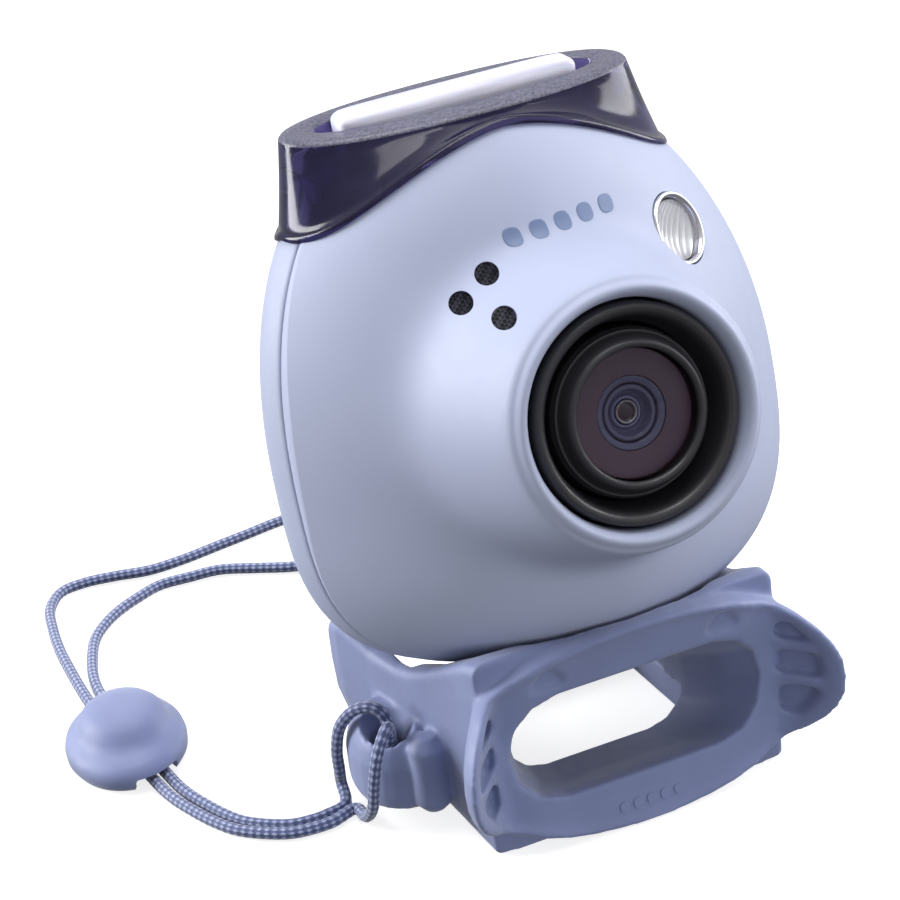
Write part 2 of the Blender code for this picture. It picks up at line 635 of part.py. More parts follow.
def port_door(mats, tilt):
    """A piece of the skin on the underside that swings down on a pin along X."""
    y, z = DOOR_PIN
    columns = [DOOR_HALF * (2 * i / 10 - 1) for i in range(11)]
    rows = [DOOR_FRONT + (y - DOOR_FRONT) * j / 6 for j in range(7)]
    outer = [[(across, along, bottom_z(across, along)) for across in columns] for along in rows]
    inner = [[(px, py, pz + WALL) for px, py, pz in row] for row in outer]
    plate = curved_plate(outer, inner)
    door = add_object("port_door", plate, mats["shell"], tilt, origin=(0, y, z))
    knuckle = aim(rod(KNUCKLE_R, -3.4, 3.4, 20), (0, y, z), (1, 0, 0))
    boolean(door, cutter("join_knuckle", knuckle, tilt), 'UNION')
    bore = aim(rod(0.65, -9, 9, 16), (0, y, z), (1, 0, 0))
    boolean(door, cutter("cut_knuckle", bore, tilt))
    pin = aim(rod(0.4, -6.6, 6.6, 16), (0, y, z), (1, 0, 0))
    add_object("door_pin", pin, mats["steel"], tilt)


# ---------------------------------------------------------------- finger ring

def cradle_section(y, rim, half):
    """One side of the ring's tub: flat foot, rounded corner, wall leaning out to the rim."""
    foot = 12.8
    side = []
    for share, height in ((0.0, 0.35), (0.3, 1.6), (0.55, 3.6), (0.8, 6.2), (1.0, rim * 0.72)):
        side.append((foot + (half - foot) * math.sin(share * math.pi / 2), height))
    right = [(foot - 1.6, 0.0), (foot - 0.5, 0.08)] + side
    right += [(half, rim - 0.7), (half - 0.3, rim - 0.15), (half - 0.9, rim)]
    ring = [(x, y + BODY_Y, z) for x, z in right]
    ring += [(-x, y + BODY_Y, z) for x, z in reversed(right)]
    return ring


def plate_front(x, z):
    """The dished plate's front skin, with a shallow trough and then a ramp up to each ear."""
    dish = 1.2 * ((z - RING_HEIGHT / 2) / (RING_HEIGHT / 2)) ** 2
    ear = EAR_RISE * (max(abs(x) - EAR_START, 0.0) / (RING_HALF - EAR_START)) ** 1.15
    trough = 0.5 * math.exp(-((abs(x) - EAR_START) / 1.8) ** 2)
    return PLATE_Y - dish - ear + trough


def front_plate():
    """The dished front plate with its two forward ears, as a closed solid."""
    rings = []
    middle = RING_HEIGHT / 2
    around = angles(44)

    def ring(scale, back):
        points = []
        for a in around:
            x, z = superellipse(a, RING_HALF * scale, middle * scale, PLATE_POWER)
            z += middle
            points.append((x, plate_front(x, z) + back + BODY_Y, z))
        rings.append(points)

    for scale in (0.45, 0.62, 0.7, 0.76, 0.82, 0.88, 0.92):
        ring(scale, 0.2)
    ring(0.945, 0.0)
    ring(0.98, 0.0)
    ring(1.0, 0.45)
    ring(1.0, 1.9)
    ring(0.97, 2.5)
    for scale in (0.8, 0.45):
        ring(scale, 2.7)
    return loft(rings)


def rounded_slot(half_x, low, high, radius, y, count=3):
    """Rounded rectangle in the plane y, as a ring of points."""
    ring = []
    corners = ((half_x, high, 0), (-half_x, high, 1), (-half_x, low, 2), (half_x, low, 3))
    for x, z, quarter in corners:
        centre_x = x - math.copysign(radius, x)
        centre_z = z + (radius if z == low else -radius)
        for k in range(count + 1):
            angle = (quarter + k / count) * math.pi / 2
            ring.append((centre_x + radius * math.cos(angle), y + BODY_Y,
                         centre_z + radius * math.sin(angle)))
    return ring


def lug_outline(side, centre, half_x, half_y, z, count):
    """Oval at height z round a point given in the tub's own frame."""
    ring = []
    for a in angles(count):
        x, y = superellipse(a, half_x, half_y, 2.2)
        ring.append((side * (centre[0] + x), centre[1] + BODY_Y + y, z))
    return ring


def lug(side):
    """Vertical eyelet beside the tub, without its hole."""
    half_x, half_y = LUG_HALF
    levels = ((1.0, 1.6), (0.25, 2.2), (0.0, 3.2), (0.0, 5.8), (0.3, 7.0), (0.8, 8.0), (1.5, LUG_TOP))
    return loft([lug_outline(side, LUG_AT, half_x - inset, half_y - inset, z, 24)
                 for inset, z in levels])


def lug_hole(side):
    half_x, half_y = LUG_HOLE_HALF
    levels = ((0.7, -1.0), (0.6, 1.8), (0.0, 3.0), (0.0, 7.2), (0.6, 8.4), (0.7, 10.0))
    return loft([lug_outline(side, LUG_HOLE_AT, half_x + grow, half_y + grow, z, 20)
                 for grow, z in levels])


def rib(side):
    """Rounded upright in front of the eyelet."""
    return loft([lug_outline(side, RIB_AT, 1.6 - inset, 1.6 - inset, z, 16)
                 for inset, z in ((0.8, 1.9), (0.0, 2.8), (0.0, 7.6), (0.8, LUG_TOP))])


def ear_pocket(side, low, high):
    """Recess in the ear's inner face that follows its slope and keeps off its outline."""
    middle = (EAR_START + 0.4 + EAR_RIM) / 2
    half = EAR_RIM - middle
    rings = []
    for depth in (-1.5, 1.35):
        ring = []
        for a in angles(24):
            x, z = superellipse(a, half, (high - low) / 2, 4.0)
            z += (low + high) / 2
            share = abs(2 * z / RING_HEIGHT - 1)
            edge = RING_HALF * (1 - share ** PLATE_POWER) ** (1 / PLATE_POWER)
            x = side * min(middle + x, edge - 1.3)
            ring.append((x, plate_front(x, z) + 0.2 + depth + BODY_Y, z))
        rings.append(ring)
    return loft(rings)


def drop(side):
    """Shallow recess shaped like a rounded triangle, its tip up."""
    x, z = DROP_AT
    rings = []
    for depth in (-1.0, 0.45):
        ring = []
        for a in angles(24):
            reach = 1 + 0.18 * math.cos(3 * (a - math.pi / 2))
            px, pz = side * x + 1.35 * reach * math.cos(a), z + 0.95 * reach * math.sin(a)
            ring.append((px, plate_front(px, pz) + 0.2 + depth + BODY_Y, pz))
        rings.append(ring)
    return loft(rings)


def body_cutter(clearance):
    """The camera's outline grown by `clearance`, standing in the world frame."""
    rings = []
    stations = 12
    grown_front = FRONT_DEPTH + clearance
    grown_rear = REAR_DEPTH + clearance
    for k in range(stations + 1):
        share = math.sin((k / stations - 0.5) * math.pi)
        y = 0.998 * share * (grown_front if share < 0 else grown_rear)
        rings.append([(r * math.cos(a), y, r * math.sin(a)) for a in angles(44)
                      for r in [section_radius(a, y, 0.0, -clearance)]])
    bm = loft(rings)
    turn = Matrix.Rotation(-TILT, 4, 'X')
    bm.transform(Matrix.Translation((0, BODY_Y, BODY_Z)) @ turn)
    return bm


def finger_ring(mats):
    tub = loft([cradle_section(*station) for station in RIM_LINE])
    ring = add_object("finger_ring", tub, mats["ring"])
    boolean(ring, cutter("join_plate", front_plate()), 'UNION')
    for name, side in (("left", -1), ("right", 1)):
        boolean(ring, cutter(f"join_lug_{name}", lug(side)), 'UNION')
        boolean(ring, cutter(f"join_rib_{name}", rib(side)), 'UNION')
    boolean(ring, cutter("cut_saddle", body_cutter(0.5)))
    tunnel = loft([
        rounded_slot(12.6, 3.2, 14.1, 5.2, -18.6),
        rounded_slot(11.7, 3.8, 13.5, 4.7, -17.0),
        rounded_slot(11.2, 4.1, 13.2, 4.5, -16.2),
        rounded_slot(10.9, 3.9, 13.0, 4.4, -15.0),
        rounded_slot(9.6, 3.0, 11.7, 4.2, -12.5),
        rounded_slot(8.2, 1.9, 9.5, 3.6, -8.0),
        rounded_slot(7.8, 1.0, 8.6, 3.4, -3.5)])
    boolean(ring, cutter("cut_finger_hole", tunnel))
    hollow = loft([
        [(x * 9.4, y + BODY_Y, -2.0) for x, y in ((1, -7.4), (1, 5.6), (-1, 5.6), (-1, -7.4))],
        [(x * 9.4, y + BODY_Y, 4.5) for x, y in ((1, -7.4), (1, 5.6), (-1, 5.6), (-1, -7.4))]])
    boolean(ring, cutter("cut_floor", hollow))
    void = loft([
        [(x * 12.9, y + BODY_Y, 3.0) for x, y in ((1, -4.4), (1, 14.0), (-1, 14.0), (-1, -4.4))],
        [(x * 13.6, y + BODY_Y, 8.0) for x, y in ((1, -4.4), (1, 14.0), (-1, 14.0), (-1, -4.4))],
        [(x * 14.3, y + BODY_Y, 24.0) for x, y in ((1, -4.4), (1, 14.0), (-1, 14.0), (-1, -4.4))]])
    boolean(ring, cutter("cut_rear", void))
    for name, side in (("left", -1), ("right", 1)):
        boolean(ring, cutter(f"cut_lug_{name}", lug_hole(side)))
        for index, (low, high) in enumerate(EAR_POCKETS):
            boolean(ring, cutter(f"cut_pocket_{name}_{index + 1}", ear_pocket(side, low, high)))
        boolean(ring, cutter(f"cut_drop_{name}", drop(side)))
    return ring


# ---------------------------------------------------------------- wrist cord

def beside(points, offset):
    """Shift a table route sideways to its left (positive) or right (negative)."""
    shifted = []
    for i, (x, y) in enumerate(points):
        before = points[max(i - 1, 0)]
        after = points[min(i + 1, len(points) - 1)]
        along = Vector((after[0] - before[0], after[1] - before[1])).normalized()
        shifted.append((x - along.y * offset, y + along.x * offset, CORD_Z))
    return shifted


def cord_route():
    route = list(UP_FRONT)
    route += beside(LEAD, STRAND)
    route += [(x, y, CORD_Z) for x, y in LOOP]
    route += reversed(beside(LEAD, -STRAND))
    route += UP_REAR
    return [Vector((x, y + BODY_Y, z)) for x, y, z in route]


def smooth_points(route, spacing):
    """Points at an even spacing along a Catmull-Rom curve through the route."""
    dense = []
    for i in range(len(route) - 1):
        p0, p1 = route[max(i - 1, 0)], route[i]
        p2, p3 = route[i + 1], route[min(i + 2, len(route) - 1)]
        for k in range(24):
            t = k / 24
            dense.append(0.5 * (2 * p1 + (p2 - p0) * t + (2 * p0 - 5 * p1 + 4 * p2 - p3) * t ** 2
                                + (3 * p1 - p0 - 3 * p2 + p3) * t ** 3))
    dense.append(route[-1])
    total = sum((b - a).length for a, b in zip(dense, dense[1:]))
    count = round(total / spacing)
    points = [dense[0]]
    walked = 0.0
    target = total / count
    for a, b in zip(dense, dense[1:]):
        step = (b - a).length
        while walked + step >= target * len(points) and len(points) < count:
            share = (target * len(points) - walked) / step
            points.append(a.lerp(b, share))
        walked += step
    points.append(dense[-1])
    return points


def wrist_cord(mats):
    points = smooth_points(cord_route(), 3.4)
    curve = bpy.data.curves.new("wrist_cord", 'CURVE')
    curve.dimensions = '3D'
    curve.bevel_depth = CORD_D / 2 * MM
    curve.bevel_resolution = 2
    curve.use_fill_caps = True
    spline = curve.splines.new('POLY')
    spline.points.add(len(points) - 1)
    for target, point in zip(spline.points, points):
        target.co = (*(point * MM), 1.0)
    cord = bpy.data.objects.new("wrist_cord", curve)
    bpy.context.scene.collection.objects.link(cord)
    curve.materials.append(mats["cord"])


def cord_bead(mats):
    lean = math.radians(14.0)
    rings = []
    for half_x, half_y, z in ((4.8, 6.5, 0.1), (5.4, 7.2, 1.0), (5.3, 7.1, 2.2), (4.8, 6.5, 2.9),
                              (4.1, 4.7, 3.2), (3.8, 4.2, 4.3), (2.6, 3.0, 5.1)):
        ring = []
        for a in angles(28):
            x, y = superellipse(a, half_x, half_y, 2.0)
            ring.append((x * math.cos(lean) + y * math.sin(lean),
                         -x * math.sin(lean) + y * math.cos(lean), z))
        rings.append(ring)
    bead = loft(rings)
    centre = (BEAD_AT[0] - 0.5, BEAD_AT[1] + BODY_Y, 0)
    bmesh.ops.translate(bead, vec=Vector(centre), verts=bead.verts)
    obj = add_object("cord_bead", bead, mats["ring"], origin=centre)
    channel = box((BEAD_AT[0], BEAD_AT[1] + BODY_Y, 0.3), (3.1, 22.0, 2.2), 0.3)
    boolean(obj, cutter("cut_channel", channel))


# ---------------------------------------------------------------- assembly

def build():
    clear_scene()
    mats = {
        "shell": material("shell_blue", (0.36, 0.41, 0.62), 0.38),
        "accent": material("accent_blue", (0.30, 0.35, 0.56), 0.38),
        "smoke": material("smoked_plastic", (0.06, 0.055, 0.11), 0.2),
        "diffuser": material("diffuser", (0.78, 0.78, 0.88), 0.45),
        "black": material("satin_black", (0.012, 0.012, 0.016), 0.32),
        "slate": material("slate_plastic", (0.09, 0.10, 0.15), 0.4),
        "glass": material("dark_glass", (0.03, 0.02, 0.03), 0.05),
        "clear": material("clear_plastic", (0.7, 0.7, 0.75), 0.08),
        "white": material("reflector", (0.8, 0.8, 0.82), 0.3),
        "board": material("circuit_board", (0.02, 0.12, 0.06), 0.5),
        "steel": material("steel", (0.55, 0.55, 0.57), 0.3, 1.0),
        "brass": material("brass", (0.72, 0.52, 0.22), 0.3, 1.0),
        "frame": material("inner_plastic", (0.05, 0.05, 0.055), 0.55),
        "battery": material("battery_wrap", (0.55, 0.55, 0.6), 0.4),
        "amber": material("flex_film", (0.5, 0.22, 0.03), 0.35),
        "ring": material("soft_slate", (0.13, 0.15, 0.27), 0.6),
        "cord": material("cord_slate", (0.13, 0.15, 0.24), 0.8),
    }
    finger_ring(mats)
    wrist_cord(mats)
    cord_bead(mats)

    tilt = bpy.data.objects.new("camera_axis", None)
    bpy.context.scene.collection.objects.link(tilt)
    tilt.location = (0, BODY_Y * MM, BODY_Z * MM)
    tilt.rotation_euler = (-TILT, 0, 0)
    front = front_shell(mats, tilt)
    rear = rear_shell(mats, tilt)
    cut_shells(front, rear, tilt)
    shell_screws(mats, tilt)
    top_window(mats, tilt)
    light_parts(mats, tilt)
    lens_stack(mats, tilt)
    flash_and_speaker(mats, tilt)
    inside_parts(mats, tilt)
    controls(mats, tilt)
    port_door(mats, tilt)


build()
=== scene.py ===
"""Visual model of a palm-size rounded camera standing in its soft finger ring.

Lengths are millimetres until a mesh is made. The body frame has the lens along -Y and is
tilted back by TILT; the table frame has +Z up and the ring's foot on z = 0.
"""
import json
import math

import bmesh
import bpy
from mathutils import Matrix, Vector
from mathutils.bvhtree import BVHTree


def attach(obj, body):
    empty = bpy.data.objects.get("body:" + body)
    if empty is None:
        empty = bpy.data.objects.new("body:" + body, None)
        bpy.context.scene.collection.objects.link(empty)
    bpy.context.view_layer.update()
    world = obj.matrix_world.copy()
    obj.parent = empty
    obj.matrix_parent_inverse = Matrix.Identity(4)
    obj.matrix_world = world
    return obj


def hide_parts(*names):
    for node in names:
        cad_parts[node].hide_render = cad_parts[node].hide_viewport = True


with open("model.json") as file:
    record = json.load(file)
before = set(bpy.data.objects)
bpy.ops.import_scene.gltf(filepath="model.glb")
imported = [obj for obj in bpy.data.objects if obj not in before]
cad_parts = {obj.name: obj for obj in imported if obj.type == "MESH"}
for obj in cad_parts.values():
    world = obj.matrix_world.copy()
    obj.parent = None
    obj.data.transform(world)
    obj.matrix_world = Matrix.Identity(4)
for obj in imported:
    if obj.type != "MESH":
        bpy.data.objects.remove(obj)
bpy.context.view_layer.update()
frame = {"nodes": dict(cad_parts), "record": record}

MM = 0.001
TILT = math.radians(15.0)
BODY_Y = 1.92
BODY_Z = 28.6
BODY = Matrix.Translation((0, BODY_Y, BODY_Z)) @ Matrix.Rotation(-TILT, 4, 'X')
TABLE = Matrix.Translation((0, BODY_Y, 0))

# body skin
HALF_WIDTH = 21.15
FRONT_DEPTH = 14.6
REAR_DEPTH = 18.8
WIDEST_Z = -1.8
RISE = 28.5
DROP = 15.95
WALL = 1.4
FRONT_POWER = 1.7
REAR_POWER = 1.55
SPLIT_Y = -2.4
SEAM = 0.06                    # half the width of the line between the shells

# lens mount
LENS_Z = 2.4
LIP_Y = -22.9
BORE_R = 8.5
SHOULDER_R = 10.2
SHOULDER_Y = -22.0
SHOULDER_FALL = 8.9

# top window
WINDOW_Y = -0.4
WINDOW_Z = 26.0
WINDOW_TILT = math.radians(13.0)
WINDOW_HALF = (14.65, 5.3)
COLLAR_HALF = (16.4, 8.9)
WELL_HALF = (16.1, 8.6)
SLOT_HALF = (11.9, 2.8)
BAR_HALF = (10.1, 1.65)

FLASH_AT = (12.2, -9.55, 12.6)
FLASH_NORMAL = (0.5, -0.83, 0.22)
FLASH_R = 3.05
SPEAKER_HOLES = ((-5.6, 13.9), (-8.05, 12.3), (-6.95, 11.25))
SPEAKER_AXIS = (-0.335, -0.92, 0.2)   # direction the bores open to
SPEAKER_R = 0.93
REAR_FACE_Y = 17.2
SHUTTER_R = 5.4
POWER_AT = (5.0, 2.0)
SLIDER_Z = -10.0
TRIPOD_BORE_R = 4.9
DOOR_CUT = ((0, 9.78, -16.0), (13.76, 7.78, 8.0))
SCREW_PLACES = ((-11.4, 9.0), (11.4, 9.0), (-11.4, -8.0), (11.4, -8.0))

# finger ring and cord
RING_HEIGHT = 17.5
PLATE_Y = -16.2
EAR_RISE = 4.4
RING_HALF = 16.3
RING_VOXEL = 0.22              # mesh size of the relaxed ring
EAR_START = 12.0
CORD_D = 1.0
CORD_Z = 0.62
CORD_STEP = 0.22               # length of one facet row along the cord
YARNS = 4                      # yarns that wind each way round the braid
YARN_PITCH = 1.3               # length over which the yarn pattern repeats
STRAND = 0.62
BEAD_AT = (-31.5, 17.0)

FINE = 168                     # columns of the large lofted pieces

# view of the whole object, measured from the camera body's centre
VIEW_LENS = 126.52
VIEW_SPOT = (-89.824, -207.658, 106.734)
VIEW_RIGHT = (0.90113, -0.41905, -0.11115)
VIEW_UP = (0.2748, 0.35381, 0.89404)
VIEW_BACK = (-0.33532, -0.83619, 0.43399)


# ---------------------------------------------------------------- mesh helpers

def angles(count=FINE):
    return [2 * math.pi * i / count for i in range(count)]


def superellipse(angle, half_x, half_y, power):
    cos, sin = math.cos(angle), math.sin(angle)
    x = half_x * math.copysign(abs(cos) ** (2 / power), cos)
    y = half_y * math.copysign(abs(sin) ** (2 / power), sin)
    return x, y


def loft(rings, loop=False, caps=True):
    """Quads between rings of equal length; a loop joins the last ring to the first."""
    bm = bmesh.new()
    rows = [[bm.verts.new(point) for point in ring] for ring in rings]
    count = len(rows[0])
    pairs = list(zip(rows, rows[1:]))
    if loop:
        pairs.append((rows[-1], rows[0]))
    for lower, upper in pairs:
        for i in range(count):
            j = (i + 1) % count
            bm.faces.new((lower[i], lower[j], upper[j], upper[i]))
    if caps and not loop:
        bm.faces.new(list(reversed(rows[0])))
        bm.faces.new(rows[-1])
    return bm


def turned(profile, segments=96):
    """Revolve a closed (radius, height) outline round +Z; radii of 0 close on the axis."""
    bm = bmesh.new()
    columns = []
    for radius, height in profile:
        if radius < 1e-6:
            columns.append([bm.verts.new((0, 0, height))] * segments)
            continue
        columns.append([bm.verts.new((radius * math.cos(a), radius * math.sin(a), height))
                        for a in angles(segments)])
    pairs = list(zip(columns, columns[1:]))
    if profile[0][0] > 1e-6:
        pairs.append((columns[-1], columns[0]))
    for first, second in pairs:
        for i in range(segments):
            j = (i + 1) % segments
            corners = list(dict.fromkeys((first[i], first[j], second[j], second[i])))
            if len(corners) > 2:
                bm.faces.new(corners)
    return bm


def rounded(profile, radius=0.15, steps=3):
    """The outline with each off-axis corner turned into a small arc."""
    result = []
    count = len(profile)
    for i, here in enumerate(profile):
        corner = Vector(here)
        if here[0] < 1e-6:
            result.append(here)
            continue
        before = Vector(profile[i - 1]) - corner
        after = Vector(profile[(i + 1) % count]) - corner
        reach = min(radius, before.length * 0.45, after.length * 0.45)
        start = corner + before.normalized() * reach
        end = corner + after.normalized() * reach
        for k in range(steps + 1):
            t = k / steps
            point = start * (1 - t) ** 2 + corner * 2 * t * (1 - t) + end * t ** 2
            result.append((max(point.x, 0.0), point.y))
    return result


def aim(bm, at, direction):
    turn = Vector((0, 0, 1)).rotation_difference(Vector(direction).normalized())
    bm.transform(Matrix.Translation(Vector(at)) @ turn.to_matrix().to_4x4())
    return bm


def box(centre, size, bevel=0.0):
    bm = bmesh.new()
    bmesh.ops.create_cube(bm, size=1.0)
    bmesh.ops.scale(bm, vec=Vector(size), verts=bm.verts)
    if bevel:
        bmesh.ops.bevel(bm, geom=list(bm.edges), offset=bevel, segments=3, profile=0.5,
                        affect='EDGES')
    bmesh.ops.translate(bm, vec=Vector(centre), verts=bm.verts)
    return bm


def rod(radius, start, end, segments=48):
    return turned([(0, start), (radius, start), (radius, end), (0, end)], segments)


def join(parts):
    """One bmesh from several."""
    whole = bmesh.new()
    for part in parts:
        mesh = bpy.data.meshes.new("scrap")
        part.to_mesh(mesh)
        part.free()
        whole.from_mesh(mesh)
        bpy.data.meshes.remove(mesh)
    return whole


def make_object(name, bm, place, sharp=40.0):
    """Object in metres with its origin at the world's; `place` maps the drawing to the table."""
    bmesh.ops.recalc_face_normals(bm, faces=bm.faces)
    bm.transform(Matrix.Scale(MM, 4) @ place)
    mesh = bpy.data.meshes.new(name)
    bm.to_mesh(mesh)
    bm.free()
    mesh.shade_smooth()
    mesh.set_sharp_from_angle(angle=math.radians(sharp))
    obj = bpy.data.objects.new(name, mesh)
    bpy.context.scene.collection.objects.link(obj)
    return obj


def baked(obj):
    """The object's mesh with its modifiers applied, as a new mesh."""
    bpy.context.view_layer.update()
    graph = bpy.context.evaluated_depsgraph_get()
    return bpy.data.meshes.new_from_object(obj.evaluated_get(graph))


def apply_modifiers(obj):
    mesh = baked(obj)
    old = obj.data
    obj.modifiers.clear()
    obj.data = mesh
    bpy.data.meshes.remove(old)


def carve(obj, parts, place):
    """Cut the joined parts out of obj and keep the smooth shading of the untouched skin."""
    before = obj.data.copy()
    tool = make_object("tool", join(parts), place)
    mod = obj.modifiers.new("carve", 'BOOLEAN')
    mod.operation = 'DIFFERENCE'
    mod.solver = 'EXACT'
    mod.object = tool
    apply_modifiers(obj)
    scrap = tool.data
    bpy.data.objects.remove(tool)
    bpy.data.meshes.remove(scrap)
    restore_normals(obj.data, before)
    bpy.data.meshes.remove(before)


def restore_normals(mesh, source):
    """Give each corner that lies on the source's skin the source's smooth normal."""
    tree = BVHTree.FromPolygons([v.co for v in source.vertices],
                                [list(p.vertices) for p in source.polygons])
    skin = [Vector(n.vector) for n in source.vertex_normals]
    found = {}
    normals = [None] * len(mesh.loops)
    for face in mesh.polygons:
        for index in face.loop_indices:
            vert = mesh.loops[index].vertex_index
            if vert not in found:
                place, _, poly, distance = tree.find_nearest(mesh.vertices[vert].co)
                found[vert] = None
                if distance < 2e-5:
                    total = Vector()
                    for corner in source.polygons[poly].vertices:
                        gap = (source.vertices[corner].co - place).length
                        total += skin[corner] / (gap + 1e-6)
                    found[vert] = total.normalized()
            normal = found[vert]
            keep = normal is not None and normal.dot(face.normal) > 0.86
            normals[index] = normal if keep else face.normal.copy()
    mesh.shade_smooth()
    mesh.normals_split_custom_set(normals)


# ---------------------------------------------------------------- materials

def linear(value):
    return value / 12.92 if value <= 0.04045 else ((value + 0.055) / 1.055) ** 2.4


def srgb(red, green, blue):
    return tuple(linear(v / 255) for v in (red, green, blue)) + (1.0,)


class Paint:
    """A node material with its object-space coordinates and Principled shader at hand."""

    def __init__(self, name, **sockets):
        self.mat = bpy.data.materials.new(name)
        self.mat.use_nodes = True
        self.tree = self.mat.node_tree
        self.shader = self.tree.nodes["Principled BSDF"]
        self.place = self.tree.nodes.new("ShaderNodeTexCoord").outputs["Object"]
        for socket, value in sockets.items():
            self.shader.inputs[socket.replace("_", " ")].default_value = value

    def node(self, kind, **settings):
        made = self.tree.nodes.new(kind)
        for key, value in settings.items():
            setattr(made, key, value)
        return made

    def link(self, start, end):
        self.tree.links.new(start, end)

    def noise(self, scale, detail=3.0, stretch=None, source=None):
        texture = self.node("ShaderNodeTexNoise")
        texture.inputs["Scale"].default_value = scale
        texture.inputs["Detail"].default_value = detail
        start = source or self.place
        if stretch:
            mapping = self.node("ShaderNodeMapping")
            mapping.inputs["Scale"].default_value = stretch
            self.link(start, mapping.inputs["Vector"])
            start = mapping.outputs["Vector"]
        self.link(start, texture.inputs["Vector"])
        return texture.outputs["Fac"]

    def spread(self, value, low, high, start=0.3, end=0.7):
        """Map a 0..1 texture value to low..high."""
        remap = self.node("ShaderNodeMapRange")
        for socket, number in (("From Min", start), ("From Max", end), ("To Min", low),
                               ("To Max", high)):
            remap.inputs[socket].default_value = number
        self.link(value, remap.inputs["Value"])
        return remap.outputs["Result"]

    def blend(self, value, first, second, start=0.3, end=0.7):
        ramp = self.node("ShaderNodeValToRGB")
        ramp.color_ramp.elements[0].position = start
        ramp.color_ramp.elements[0].color = first
        ramp.color_ramp.elements[1].position = end
        ramp.color_ramp.elements[1].color = second
        self.link(value, ramp.inputs["Fac"])
        return ramp.outputs["Color"]

    def colour(self, value, first, second, start=0.3, end=0.7):
        self.link(self.blend(value, first, second, start, end), self.shader.inputs["Base Color"])

    def roughness(self, value, low, high):
        self.link(self.spread(value, low, high), self.shader.inputs["Roughness"])

    def bump(self, value, height_mm, strength=1.0):
        bump = self.node("ShaderNodeBump")
        bump.inputs["Strength"].default_value = strength
        bump.inputs["Distance"].default_value = height_mm * MM
        self.link(value, bump.inputs["Height"])
        self.link(bump.outputs["Normal"], self.shader.inputs["Normal"])


def shade(colour, factor):
    return tuple(min(c * factor, 1.0) for c in colour[:3]) + (1.0,)


def moulded(name, colour, rough, grain_mm=0.12, height=0.008, change=0.06, **sockets):
    """Moulded plastic: slow colour drift, fine spark-eroded grain, uneven gloss."""
    paint = Paint(name, **sockets)
    paint.colour(paint.noise(90, 2.0), shade(colour, 1 - change), shade(colour, 1 + change))
    paint.roughness(paint.noise(700, 4.0), rough - 0.04, rough + 0.05)
    paint.bump(paint.noise(1 / (grain_mm * MM), 2.0), height)
    return paint.mat


def brushed(name, colour, rough):
    paint = Paint(name, Metallic=1.0)
    streak = paint.noise(900, 3.0, (1.0, 14.0, 14.0))
    paint.colour(streak, shade(colour, 0.85), shade(colour, 1.1))
    paint.roughness(streak, rough - 0.06, rough + 0.08)
    paint.bump(streak, 0.004)
    return paint.mat


